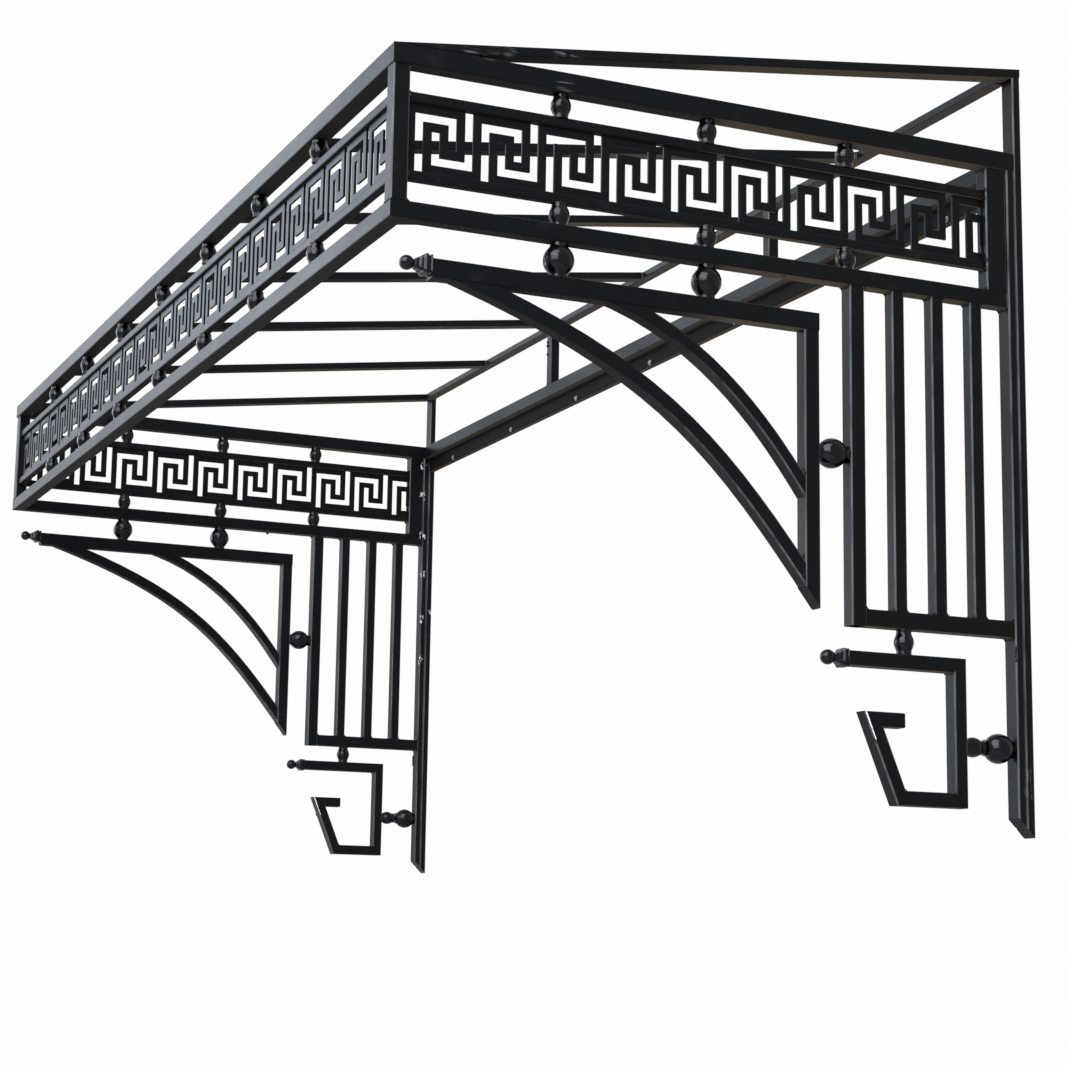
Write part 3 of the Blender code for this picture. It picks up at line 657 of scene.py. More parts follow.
def finished(
    name: str, shape: bmesh.types.BMesh, material: bpy.types.Material, sharp: float
) -> bpy.types.Object:
    """Turns a closed shape into an object at the origin, smooth but for its sharp edges.

    Args:
        name: The object's name.
        shape: The closed shape, which is freed.
        material: Its material.
        sharp: Edges bent more than this many degrees stay sharp.

    Returns:
        The object.
    """
    bmesh.ops.recalc_face_normals(shape, faces=shape.faces)
    mesh = bpy.data.meshes.new(name)
    shape.to_mesh(mesh)
    shape.free()
    mesh.materials.append(material)
    mesh.shade_smooth()
    mesh.set_sharp_from_angle(angle=math.radians(sharp))
    return add_object(name, mesh)


def add_block(shape: bmesh.types.BMesh, corners: Sequence[Vector], way: Vector) -> None:
    """Adds a closed prism to a shape.

    Args:
        shape: The shape to add to.
        corners: The prism's flat outline.
        way: How far and which way the outline is pushed.
    """
    first = [shape.verts.new(corner) for corner in corners]
    last = [shape.verts.new(corner + way) for corner in corners]
    count = len(corners)
    for index in range(count):
        following = (index + 1) % count
        shape.faces.new((first[index], first[following], last[following], last[index]))
    shape.faces.new(first)
    shape.faces.new(last)


def keep(piece: bpy.types.Object) -> None:
    """Puts a finished piece on the frame's body.

    Args:
        piece: The piece.
    """
    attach(piece, BODY)
    LOG.info("%s: %d faces", piece.name, len(piece.data.polygons))


class GeometryTree(NodeTree):
    """Writes one Geometry Nodes tree and runs it on a mesh."""

    def __init__(self, name: str) -> None:
        """Starts a tree that takes a geometry and gives one back.

        Args:
            name: The name of the tree and of the piece that it makes.
        """
        super().__init__(bpy.data.node_groups.new(name, "GeometryNodeTree"))
        self.name = name
        for way in ("INPUT", "OUTPUT"):
            self.tree.interface.new_socket("Geometry", in_out=way, socket_type="NodeSocketGeometry")
        self.entry = self.tree.nodes.new("NodeGroupInput")
        self.sizes: dict[str, float | int] = {}

    @property
    def source(self) -> Value:
        """The geometry that the tree starts from."""
        return Value(self, self.entry.outputs["Geometry"])

    def size(self, name: str, value: float | int) -> Value:
        """Adds a named input.

        Args:
            name: The input's name.
            value: Its value for this run.

        Returns:
            The input.
        """
        kind = "NodeSocketInt" if isinstance(value, int) else "NodeSocketFloat"
        made = self.tree.interface.new_socket(name, in_out="INPUT", socket_type=kind)
        self.sizes[made.identifier] = value
        return Value(self, self.entry.outputs[name])

    def ring(self, sides: Value, radius: Value | float = 1.0) -> Value:
        """Returns a round outline."""
        return self.node("GeometryNodeCurvePrimitiveCircle", {"Resolution": sides, "Radius": radius})

    def tube(self, curve: Value, ring: Value, **sockets: Value) -> Value:
        """Returns a closed tube, an outline pushed along a curve."""
        ends = {"Curve": curve, "Profile Curve": ring, "Fill Caps": True}
        return self.node("GeometryNodeCurveToMesh", {**ends, **sockets})

    def spread(self, piece: Value, **sockets: Any) -> Value:
        """Returns a copy of the piece on each point of the source."""
        copies = {"Points": self.source, "Instance": piece, **sockets}
        return self.node("GeometryNodeInstanceOnPoints", copies)

    def uneven(self, shape: Value, scale: Value | float, detail: float, reach: Value) -> Value:
        """Moves each point of a shape a little, as noise says.

        Args:
            shape: The shape.
            scale: The noise's cells per metre.
            detail: The noise's octaves.
            reach: The moves' width from one side to the other.

        Returns:
            The uneven shape.
        """
        noise = self.node("ShaderNodeTexNoise", {"Scale": scale, "Detail": detail}, "Color")
        offset = self.scaled(self.vector_maths("SUBTRACT", noise, (0.5, 0.5, 0.5)), reach)
        return self.node("GeometryNodeSetPosition", {"Geometry": shape, "Offset": offset})

    def run(
        self,
        lines: Iterable[Sequence[Vector]],
        result: Value,
        material: bpy.types.Material,
        slot: Slot,
        sharp: float = 50.0,
    ) -> None:
        """Ends the tree, runs it on lines or points and keeps the result as a piece at the origin.

        Args:
            lines: The lines to start from.
            result: The geometry that the tree makes.
            material: The material of the whole result.
            slot: The piece's slot. It is not used.
            sharp: Edges bent more than this many degrees stay sharp.
        """
        real = self.node("GeometryNodeRealizeInstances", {0: result})
        smooth = self.node("GeometryNodeSetShadeSmooth", {0: real})
        dressed = self.node("GeometryNodeSetMaterial", {"Geometry": smooth, "Material": material})
        self.end("NodeGroupOutput", dressed)
        carrier = add_object("carrier", lines_mesh("lines", lines))
        modifier = carrier.modifiers.new("make", "NODES")
        modifier.node_group = self.tree
        for identifier, value in self.sizes.items():
            modifier[identifier] = value
        graph = bpy.context.evaluated_depsgraph_get()
        mesh = bpy.data.meshes.new_from_object(carrier.evaluated_get(graph))
        bpy.data.objects.remove(carrier, do_unlink=True)
        mesh.name = self.name
        mesh.set_sharp_from_angle(angle=math.radians(sharp))
        keep(add_object(self.name, mesh))


# The object's sizes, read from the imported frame


@dataclass
class Box:
    """Lowest and highest corner of one CAD node."""

    low: Vector
    high: Vector

    @classmethod
    def of(cls, node: str) -> "Box":
        """Returns the box of a CAD node."""
        low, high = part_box(node)
        return cls(low, high)

    @property
    def middle(self) -> Vector:
        """The box's centre."""
        return (self.low + self.high) / 2

    def across(self, axis: int) -> float:
        """Returns the box's size on one axis."""
        return self.high[axis] - self.low[axis]

    def end(self, axis: int, side: int) -> float:
        """Returns where the box ends on one axis, on its lower side for -1 and its higher side for 1."""
        return (self.high if side > 0 else self.low)[axis]


# Sub-assemblies


class Axis(Enum):
    """Directions that a ball's contacts can face, as a turn from upright."""

    UPRIGHT = (0.0, 0.0, 0.0)
    TO_WALL = (math.pi / 2, 0.0, 0.0)


@dataclass(frozen=True)
class BallKind:
    """One size of forged ball, with the diameter of the short collars on both its sides."""

    diameter: float
    collar: float

    def core(self, blend: float) -> float:
        """Returns the radius that, blended with the collar's, gives the ball's own."""
        return ((self.diameter / 2) ** blend - (self.collar / 2) ** blend) ** (1 / blend)


@dataclass
class BallGroup:
    """Balls of one kind in gaps of one length."""

    kind: BallKind
    gap: float
    axis: Axis
    places: list[Vector] = field(default_factory=list)


@dataclass
class Balls:
    """All forged balls: skins over the CAD balls that run smoothly into their collars."""

    small: BallKind = BallKind(0.041, 0.0302)
    large: BallKind = BallKind(0.062, 0.0342)
    skin: float = 0.0002
    blend: float = 6.0
    side_middle: float = -0.758
    side_pitch: float = 0.327
    front_pitch: float = 0.412
    front_each_side: int = 3
    rear_ball_drop: float = 0.357
    chain_collar: float = 0.0055
    chain_drop: float = 0.1795
    dent: float = 0.0003
    dent_scale: float = 34.0
    bands: int = 33
    sides: int = 40
    groups: dict[str, BallGroup] = field(default_factory=dict)

    def build(self, finishes: Finishes) -> None:
        """Finds every ball's place from the CAD nodes around it and makes one piece a group.

        Args:
            finishes: The materials.
        """
        self._rows()
        for _, name in SIDES:
            self._bracket_balls(name)
            self._hook_balls(name)
        for name, group in self.groups.items():
            self._skins(name, group, finishes)

    def _between(
        self, group: str, kind: BallKind, low: Vector, high: Vector, axis: Axis = Axis.UPRIGHT
    ) -> None:
        """Adds one ball between two faces.

        Args:
            group: The name of its group.
            kind: The ball's kind.
            low: The contact on the first face.
            high: The contact on the second face.
            axis: The direction from one to the other.
        """
        made = self.groups.setdefault(group, BallGroup(kind, (high - low).length, axis))
        made.places.append((low + high) / 2)

    def _rows(self) -> None:
        """Finds the balls over and under the fret bars of all three panels."""
        y = Box.of("front_fret_plate").middle.y
        steps = range(-self.front_each_side, self.front_each_side + 1)
        spots = [("front", step * self.front_pitch, y) for step in steps]
        for _, name in SIDES:
            x = Box.of(f"{name}_fret_plate").middle.x
            spots += [(name, x, self.side_middle + step * self.side_pitch) for step in (-1, 0, 1)]
        for panel, x, y in spots:
            top = Box.of(f"{panel}_fret_top_bar").low.z + FRET_BAR
            above = Box.of(f"{panel}_top_rail").low.z
            self._between("upper_row_balls", self.small, Vector((x, y, top)), Vector((x, y, above)))
            below = Box.of(f"{panel}_bottom_rail").high.z
            low = Box.of(f"{panel}_fret_bottom_bar").high.z - FRET_BAR
            self._between("lower_row_balls", self.small, Vector((x, y, below)), Vector((x, y, low)))

    def _bracket_balls(self, name: str) -> None:
        """Finds the large balls over and behind one bracket.

        Args:
            name: The side.
        """
        rail = Box.of(f"{name}_bottom_rail")
        grille = Box.of(f"{name}_grille_front_bar")
        x = grille.middle.x
        bar_top = Box.of(f"{name}_bracket_top_bar").low.z + BRACKET_BAR
        for step in (-1, 0):
            y = self.side_middle + step * self.side_pitch
            low = Vector((x, y, bar_top))
            self._between("bracket_balls", self.large, low, Vector((x, y, rail.low.z)))
        z = rail.low.z - self.rear_ball_drop
        low = Vector((x, Box.of(f"{name}_bracket_rear_bar").low.y + grille.across(Y), z))
        self._between("rear_balls", self.large, low, Vector((x, grille.low.y, z)), Axis.TO_WALL)

    def _hook_balls(self, name: str) -> None:
        """Finds the ball above one hook and the two behind it.

        Args:
            name: The side.
        """
        grille = Box.of(f"{name}_grille_front_bar")
        x = grille.middle.x
        front = Box.of(f"{name}_hook_finial").high.y
        rear = front + HOOK_LENGTH
        top = Box.of(f"{name}_hook").high.z
        middle = (front + rear) / 2
        self._between("hang_balls", self.small, Vector((x, middle, top)), Vector((x, middle, grille.low.z)))
        z = top - self.chain_drop
        low = Vector((x, rear, z))
        high = Vector((x, rear + self.small.diameter + self.chain_collar, z))
        self._between("chain_small_balls", self.small, low, high, Axis.TO_WALL)
        high = Vector((x, Box.of(f"{name}_post").low.y, z))
        low = high - Vector((0.0, self.large.diameter + self.chain_collar, 0.0))
        self._between("chain_large_balls", self.large, low, high, Axis.TO_WALL)

    def _skins(self, name: str, group: BallGroup, finishes: Finishes) -> None:
        """Makes the skins of one group.

        Args:
            name: The group's name.
            group: The group.
            finishes: The materials.
        """
        tree = GeometryTree(name)
        radius = tree.size("Radius", group.kind.core(self.blend))
        collar = tree.size("Collar radius", group.kind.collar / 2 + self.skin)
        reach = tree.size("Half length", group.gap / 2 - self.skin)
        blend = tree.size("Blend", self.blend)
        low = tree.node("ShaderNodeCombineXYZ", {"Z": reach * -1.0})
        high = tree.node("ShaderNodeCombineXYZ", {"Z": reach})
        axis = tree.node("GeometryNodeCurvePrimitiveLine", {"Start": low, "End": high})
        bands = tree.size("Bands", self.bands)
        even = tree.node("GeometryNodeResampleCurve", {"Curve": axis, "Count": bands}, mode="COUNT")
        height = tree.part(tree.node("GeometryNodeInputPosition"), "Z")
        left = tree.maths("MAXIMUM", radius * radius - height * height, 0.0)
        round_part = tree.maths("POWER", tree.maths("SQRT", left), blend)
        both = round_part + tree.maths("POWER", collar, blend)
        width = tree.maths("POWER", both, tree.maths("DIVIDE", 1.0, blend)) + self.skin
        skins = tree.spread(
            tree.tube(even, tree.ring(tree.size("Sides", self.sides)), Scale=width),
            Rotation=group.axis.value,
        )
        real = tree.node("GeometryNodeRealizeInstances", {0: skins})
        scale = tree.size("Dent scale", self.dent_scale)
        wobble = tree.node("ShaderNodeTexNoise", {"Scale": scale, "Detail": 1.0})
        depth = (wobble - 0.5) * tree.size("Dent", self.dent)
        push = tree.scaled(tree.node("GeometryNodeInputNormal"), depth)
        dented = tree.node("GeometryNodeSetPosition", {"Geometry": real, "Offset": push})
        tree.run([[place] for place in group.places], dented, finishes.ball, Slot.FINIAL)


@dataclass(frozen=True)
class FinialSize:
    """Half the width of a finial's widest step, the length of all its steps and its ball's diameter."""

    half: float
    length: float
    ball: float


@dataclass
class Finials:
    """Stepped square finials, each in place of its CAD node, with a glossy ball at the tip."""

    bracket: FinialSize = FinialSize(0.0195, 0.0360, 0.029)
    hook: FinialSize = FinialSize(0.0190, 0.0285, 0.031)
    corners: int = 48
    square: float = 9.0
    round: float = 2.0
    tip: float = 0.0085
    sink: float = 0.0010
    pole_rings: int = 22
    neck: tuple[float, float, float] = (0.985, 0.41, 3.0)
    outline: tuple[Pair, ...] = (
        (0.000, 0.960),
        (0.030, 0.980),
        (0.110, 0.880),
        (0.120, 0.850),
        (0.210, 0.860),
        (0.235, 0.970),
        (0.260, 1.000),
        (0.370, 1.000),
        (0.390, 0.970),
        (0.510, 0.830),
        (0.520, 0.775),
        (0.560, 0.765),
        (0.730, 0.600),
        (0.740, 0.560),
        (0.790, 0.550),
        (0.900, 0.450),
        (0.910, 0.425),
    )
    steps_sharp: float = 25.0
    ball_sharp: float = 50.0

    def build(self, finishes: Finishes) -> None:
        """Makes the four finials.

        Args:
            finishes: The materials.
        """
        for _, name in SIDES:
            self._finial(f"{name}_bracket_finial", self.bracket, finishes)
            self._finial(f"{name}_hook_finial", self.hook, finishes)

    def _steps(self, size: FinialSize) -> list[Point]:
        """Scales the outline of the steps.

        Args:
            size: The finial's size.

        Returns:
            Distance, half width and squareness of each ring, from the bar outwards.
        """
        rings = [(size.length * along, size.half * width, self.square) for along, width in self.outline]
        along, width, squareness = self.neck
        rings.append((size.length * along, size.half * width, squareness))
        return [*rings, (size.length, self.tip, self.round)]

    def _ball(self, size: FinialSize) -> list[Point]:
        """Works out the ball at the tip.

        Args:
            size: The finial's size.

        Returns:
            Distance, half width and squareness of each ring, from inside the last step to the pole.
        """
        radius = size.ball / 2
        first = math.acos((self.tip - self.sink) / radius)
        middle = size.length - self.sink + radius * math.sin(first)
        rings = []
        for ring in range(self.pole_rings):
            angle = -first + (math.pi / 2 + first) * ring / self.pole_rings
            rings.append((middle + radius * math.sin(angle), radius * math.cos(angle), self.round))
        return [*rings, (middle + radius, 0.0, self.round)]

    def _loop(self, shape: bmesh.types.BMesh, base: Vector, ring: Point) -> list[bmesh.types.BMVert]:
        """Adds the points of one ring, which is between a square and a circle.

        Args:
            shape: The shape to add to.
            base: The middle of the bar's end.
            ring: Its distance, half width and squareness.

        Returns:
            The points.
        """
        distance, width, squareness = ring
        loop = []
        for corner in range(self.corners):
            angle = 2 * math.pi * corner / self.corners
            cosine, sine = math.cos(angle), math.sin(angle)
            reach = width / (abs(cosine) ** squareness + abs(sine) ** squareness) ** (1 / squareness)
            loop.append(shape.verts.new(base + Vector((reach * cosine, -distance, reach * sine))))
        return loop

    def _turned(self, base: Vector, rings: list[Point]) -> bmesh.types.BMesh:
        """Makes a closed shape through rings that follow the bar's line.

        Args:
            base: The middle of the bar's end.
            rings: Distance, half width and squareness of each ring. A last width of 0 makes a pole.

        Returns:
            The shape.
        """
        shape = bmesh.new()
        pole = rings[-1][1] == 0.0
        loops = [self._loop(shape, base, ring) for ring in rings[: -1 if pole else None]]
        for near, far in zip(loops, loops[1:]):
            for index in range(self.corners):
                following = (index + 1) % self.corners
                shape.faces.new((near[index], near[following], far[following], far[index]))
        shape.faces.new(loops[0])
        if not pole:
            shape.faces.new(loops[-1])
            return shape
        end = shape.verts.new(base - Vector((0.0, rings[-1][0], 0.0)))
        for index in range(self.corners):
            shape.faces.new((loops[-1][index], loops[-1][(index + 1) % self.corners], end))
        return shape

    def _finial(self, node: str, size: FinialSize, finishes: Finishes) -> None:
        """Makes one finial and hides its CAD node.

        Args:
            node: The CAD node that it stands for.
            size: Its size.
            finishes: The materials.
        """
        box = Box.of(node)
        base = Vector((box.middle.x, box.high.y, box.middle.z))
        steps = self._turned(base, self._steps(size))
        piece = finished(f"{node}_steps", steps, finishes.ball, self.steps_sharp)
        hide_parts(node)
        keep(piece)
        tip = self._turned(base, self._ball(size))
        keep(finished(f"{node}_ball", tip, finishes.ball, self.ball_sharp))


@dataclass
class EndPlates:
    """Thin plates that close the cut tube ends at the posts' feet and at the brackets' tips."""

    wall: float = 0.0019
    thickness: float = 0.0012
    recess: float = 0.0005
    sharp: float = 30.0

    def build(self, finishes: Finishes) -> None:
        """Makes all plates as one piece.

        Args:
            finishes: The materials.
        """
        shape = bmesh.new()
        for _, name in SIDES:
            for node in (f"{name}_post", f"{name}_wall_post"):
                box = Box.of(node)
                self._plate(shape, box, box.low.z + box.across(Y), box.high.y, box.low.z)
            self._bracket_ends(shape, name)
        keep(finished("end_plates", shape, finishes.frame, self.sharp))

    def _plate(self, shape: bmesh.types.BMesh, box: Box, front: float, bend: float, low: float) -> None:
        """Closes a tube's cut end, slanted from its front to a bend and level behind it.

        Args:
            shape: The shape to add to.
            box: The tube's own box, seen from below.
            front: Height of the cut at the tube's front.
            bend: Depth where the slanted cut ends.
            low: Height of the cut's lowest part.
        """
        slope = (low - front) / (bend - box.low.y)
        y_low, y_high = box.low.y + self.wall, box.high.y - self.wall
        outline = [(y, front + slope * (y - box.low.y)) for y in (y_low, min(bend, y_high))]
        if bend < y_high:
            outline.append((y_high, low))
        lower = [Vector((box.low.x + self.wall, y, z + self.recess)) for y, z in outline]
        upper = [point + Vector((0.0, 0.0, self.thickness)) for point in reversed(lower)]
        add_block(shape, lower + upper, Vector((box.across(X) - 2 * self.wall, 0.0, 0.0)))

    def _front_end(self, shape: bmesh.types.BMesh, bar: Box, grille: Box) -> None:
        """Closes the square front end of a bracket's top bar, behind its finial.

        Args:
            shape: The shape to add to.
            bar: The top bar's box, with its balls.
            grille: The box of a bar of the same width.
        """
        low_x, high_x = grille.low.x + self.wall, grille.high.x - self.wall
        low_z, high_z = bar.low.z + self.wall, bar.low.z + BRACKET_BAR - self.wall
        y = bar.low.y + self.recess
        corners = [(low_x, low_z), (high_x, low_z), (high_x, high_z), (low_x, high_z)]
        add_block(shape, [Vector((x, y, z)) for x, z in corners], Vector((0.0, self.thickness, 0.0)))

    def _bracket_ends(self, shape: bmesh.types.BMesh, name: str) -> None:
        """Closes both ends of a bracket: its top bar's front and its rear bar's foot.

        Args:
            shape: The shape to add to.
            name: The side.
        """
        bar = Box.of(f"{name}_bracket_rear_bar")
        grille = Box.of(f"{name}_grille_front_bar")
        self._front_end(shape, Box.of(f"{name}_bracket_top_bar"), grille)
        front, low = bar.low.y, bar.low.z
        foot = Box.of(f"{name}_bracket_outer_arc").low.z
        points = bpy.data.objects[f"{name}_bracket_rear_bar"].data.vertices
        level = [point.co.y for point in points if point.co.z < low + self.recess]
        rear = front + grille.across(Y)
        tube = Box(Vector((grille.low.x, front, low)), Vector((grille.high.x, rear, foot)))
        self._plate(shape, tube, foot, min(level), low)


@dataclass
class HookSeams:
    """A pale strip in each hook's lip seam, a painted highlight for the bright line along it."""

    corner_back: float = 0.2230
    corner_drop: float = 0.135
    lower_back: float = 0.1591
    lower_drop: float = 0.291
    forward: float = 0.01175
    start: float = -0.042
    end: float = 0.0190
    narrow: float = 0.0008
    wide: float = 0.0013
    proud: float = 0.0001
    sharp: float = 30.0

    def build(self, finishes: Finishes) -> None:
        """Makes both seams as one piece.

        Args:
            finishes: The materials.
        """
        shape = bmesh.new()
        for _, name in SIDES:
            self._seam(shape, name)
        # The pale strips are painted highlights along the lip seams.
        keep(finished("hook_lip_highlights", shape, finishes.filler, self.sharp))

    def _seam(self, shape: bmesh.types.BMesh, name: str) -> None:
        """Adds one wedge, wider at the lip's corner.

        Args:
            shape: The shape to add to.
            name: The side.
        """
        grille = Box.of(f"{name}_grille_front_bar")
        rear = Box.of(f"{name}_hook_finial").high.y + HOOK_LENGTH
        top = Box.of(f"{name}_hook").high.z
        x = grille.low.x - self.proud
        corner = Vector((x, rear - self.corner_back, top - self.corner_drop))
        lower = Vector((x, rear - self.lower_back, top - self.lower_drop))
        way = (corner - lower).normalized()
        outward = Vector((0.0, -way.z, way.y))
        outline = []
        for along, half in ((self.start, self.narrow), (self.end, self.wide)):
            middle = corner + way * along + outward * self.forward
            outline.append((middle - outward * half, middle + outward * half))
        (first, second), (fourth, third) = outline
        width = grille.across(X) + 2 * self.proud
        add_block(shape, [first, second, third, fourth], Vector((width, 0.0, 0.0)))


@dataclass
class FilledJoints:
    """Ground and painted fill over the joints of the ring's corners and uprights."""

    radius: float = 0.00045
    sink: float = 0.00015
    rear_radius: float = 0.0019
    rear_lift: float = 0.0002
    sides: int = 10

    def build(self, finishes: Finishes) -> None:
        """Collects the joints and makes them, the ring's as one piece and the wall rail's as another.

        Args:
            finishes: The materials.
        """
        lines: list[list[Vector]] = []
        for side, name in SIDES:
            upright = Box.of(f"{name}_front_upright")
            lines += [self._loop(upright, z) for z in (upright.low.z, upright.high.z)]
            for rail in ("bottom_rail", "top_rail"):
                lines += self._corner(side, Box.of(f"front_{rail}"), Box.of(f"{name}_{rail}"))
        self._make("filled_joints", lines, self.radius, finishes)
        rail = Box.of("wall_rail")
        ends = [Vector((x, rail.low.y, rail.high.z + self.rear_lift)) for x in (rail.low.x, rail.high.x)]
        self._make("rear_rail_joint", [ends], self.rear_radius, finishes)

    def _make(self, name: str, lines: list[list[Vector]], radius: float, finishes: Finishes) -> None:
        """Turns lines into round fillers.

        Args:
            name: The piece's name.
            lines: The joints.
            radius: The filler's radius.
            finishes: The materials.
        """
        tree = GeometryTree(name)
        curve = tree.node("GeometryNodeMeshToCurve", {0: tree.source})
        ring = tree.ring(tree.size("Sides", self.sides), tree.size("Radius", radius))
        tree.run(lines, tree.tube(curve, ring), finishes.frame, Slot.FRAME)

    def _loop(self, box: Box, z: float) -> list[Vector]:
        """Draws the outline of an upright's end, a little inside its faces.

        Args:
            box: The upright's box.
            z: The end's height.

        Returns:
            The outline's points, the first one again at its end.
        """
        x_low, x_high = box.low.x + self.sink, box.high.x - self.sink
        y_low, y_high = box.low.y + self.sink, box.high.y - self.sink
        corners = [(x_low, y_low), (x_high, y_low), (x_high, y_high), (x_low, y_high), (x_low, y_low)]
        return [Vector((x, y, z)) for x, y in corners]

    def _corner(self, side: int, rail: Box, side_rail: Box) -> list[list[Vector]]:
        """Draws the joints where the front rail meets a side rail.

        Args:
            side: -1 for left and 1 for right.
            rail: The front rail's box.
            side_rail: The side rail's box.

        Returns:
            Three lines, under and over the rail and down its outer corner.
        """
        outer = max(rail.high.x, side_rail.high.x * side, side_rail.low.x * side)
        inner = min(abs(side_rail.low.x), abs(side_rail.high.x))
        near = Vector((side * (outer - self.sink), rail.low.y + self.sink, 0.0))
        far = Vector((side * inner, rail.high.y, 0.0))
        lifts = [Vector((0.0, 0.0, z)) for z in (rail.low.z + self.sink, rail.high.z - self.sink)]
        return [*([near + lift, far + lift] for lift in lifts), [near + lift for lift in lifts]]


@dataclass(frozen=True)
class SeamKind:
    """How the seams of one piece look: the mean reach from their lines and how uneven they are.

    A hollow seam's outline is a star of four hollow curves, as a fillet needs, and not round.
    """

    piece: str
    radius: float
    unevenness: float
    wander: float
    corners: int
    hollow: bool = False


@dataclass
class Welds:
    """Painted welds where bars meet: smooth fillets in the openings' corners, and uneven beads."""

    fillet: SeamKind = SeamKind("corner_fillets", 0.0055, 0.08, 0.0002, 24, hollow=True)
    bead: SeamKind = SeamKind("weld_beads", 0.0030, 0.30, 0.0006, 8)
    spacing: float = 0.0026
    noise_scale: float = 210.0
    noise_levels: Pair = (0.25, 0.75)
    wander_scale: float = 330.0
    margin: float = 0.0012
    hook_inner_corner: float = 0.149
    end_tolerance: float = 0.0004
    side_sink: float = 0.0006
    fillets: list[list[Vector]] = field(default_factory=list)
    beads: list[list[Vector]] = field(default_factory=list)

    def build(self, finishes: Finishes) -> None:
        """Collects every seam of the frame and makes the fillets and the beads.

        Args:
            finishes: The materials.
        """
        for side, name in SIDES:
            inner = (1,) if side < 0 else (0,)
            for end in (-1, 1):
                self._bar_end(f"{name}_front_upright", Z, end, X, (1,))
                self._bar_end(f"{name}_front_upright", Z, end, Y, inner)
                self._bar_end(f"{name}_rear_upright", Z, end, X, (0,))
                self._bar_end(f"{name}_middle_upright", Z, end, Y)
                for number in (1, 2, 3):
                    self._bar_end(f"{name}_grille_bar_{number}", Z, end, X)
                for bar in ("fret_top_bar", "fret_bottom_bar"):
                    self._bar_end(f"{name}_{bar}", Y, end, X)
                    self._bar_end(f"front_{bar}", X, side * end, Y)
            self._bar_end(f"{name}_grille_front_bar", Z, 1, X)
            self._grille_foot(name)
            self._bar_end(f"{name}_bottom_rail", Y, 1, X, (0,))
            self._hook_corners(name)
            self._joints_at_post(side, name)
        for number in range(2, 7):
            self._rafter_end(f"rafter_{number}")
        self._make(self.fillet, self.fillets, finishes.frame)
        self._make(self.bead, self.beads, finishes.weld)

    def _seam(self, lines: list[list[Vector]], across: int, at: Vector, low: float, high: float) -> None:
        """Adds a straight seam along one axis, a little short of both ends.

        Args:
            lines: The list that the seam joins.
            across: The axis that the seam runs along.
            at: A point on the seam's line.
            low: Where the joint starts on that axis.
            high: Where it ends.
        """
        first = at.copy()
        last = at.copy()
        first[across] = low + self.margin
        last[across] = high - self.margin
        lines.append([first, last])

    def _bar_end(self, node: str, along: int, end: int, across: int, faces: Sequence[int] = (0, 1)) -> None:
        """Adds the fillets at one end of a bar, from the outline of that end.

        Args:
            node: The bar's CAD node.
            along: The bar's own axis.
            end: -1 for its lower end and 1 for its higher end on that axis.
            across: The axis that the fillets run along.
            faces: The faces on the third axis that have one, 0 for the lower and 1 for the higher.
        """
        other = X + Y + Z - along - across
        place = Box.of(node).end(along, end)
        points = [point.co for point in bpy.data.objects[node].data.vertices]
        outline = [point for point in points if abs(point[along] - place) < self.end_tolerance]
        low, high = (pick(point[across] for point in outline) for pick in (min, max))
        for face in faces:
            at = Vector()
            at[along] = place
            at[other] = (min, max)[face](point[other] for point in outline)
            self._seam(self.fillets, across, at, low, high)

    def _grille_foot(self, name: str) -> None:
        """Adds the fillets at both ends of a grille's bottom bar.

        Args:
            name: The side.
        """
        upright = Box.of(f"{name}_grille_front_bar")
        top = Box.of(f"{name}_grille_bar_1").low.z
        rear = Box.of(f"{name}_post").low.y
        for y, z in ((upright.high.y, top), (rear, top), (rear, upright.low.z)):
            self._seam(self.fillets, X, Vector((0.0, y, z)), upright.low.x, upright.high.x)

    def _joints_at_post(self, side: int, name: str) -> None:
        """Adds upright beads at the outer side of the bars that end on a post.

        Args:
            side: -1 for left and 1 for right.
            name: The side's name.
        """
        post = Box.of(f"{name}_post")
        foot = Box.of(f"{name}_grille_bottom_bar")
        rail = Box.of(f"{name}_bottom_rail")
        for box, high in ((foot, foot.low.z + GRILLE_BAR), (rail, rail.high.z)):
            at = Vector((box.end(X, side) - side * self.side_sink, post.low.y, 0.0))
            self._seam(self.beads, Z, at, box.low.z, high)

    def _hook_corners(self, name: str) -> None:
        """Adds a bead in each inner corner of a hook.

        Args:
            name: The side.
        """
        grille = Box.of(f"{name}_grille_front_bar")
        rear = Box.of(f"{name}_hook_finial").high.y + HOOK_LENGTH
        inner = rear - HOOK_THICKNESS
        top = Box.of(f"{name}_hook").high.z
        floor = top - HOOK_HEIGHT + HOOK_THICKNESS
        spots = ((inner, top - HOOK_THICKNESS), (inner, floor), (rear - self.hook_inner_corner, floor))
        for y, z in spots:
            self._seam(self.beads, X, Vector((0.0, y, z)), grille.low.x, grille.high.x)

    def _rafter_end(self, node: str) -> None:
        """Adds the beads at both sides of a rafter's rear end, where it meets the high rail.

        Args:
            node: The rafter's CAD node.
        """
        box = Box.of(node)
        height = Box.of("high_rail").low.z
        for x in (box.low.x, box.high.x):
            self._seam(self.beads, Z, Vector((x, box.high.y, 0.0)), height, box.high.z)

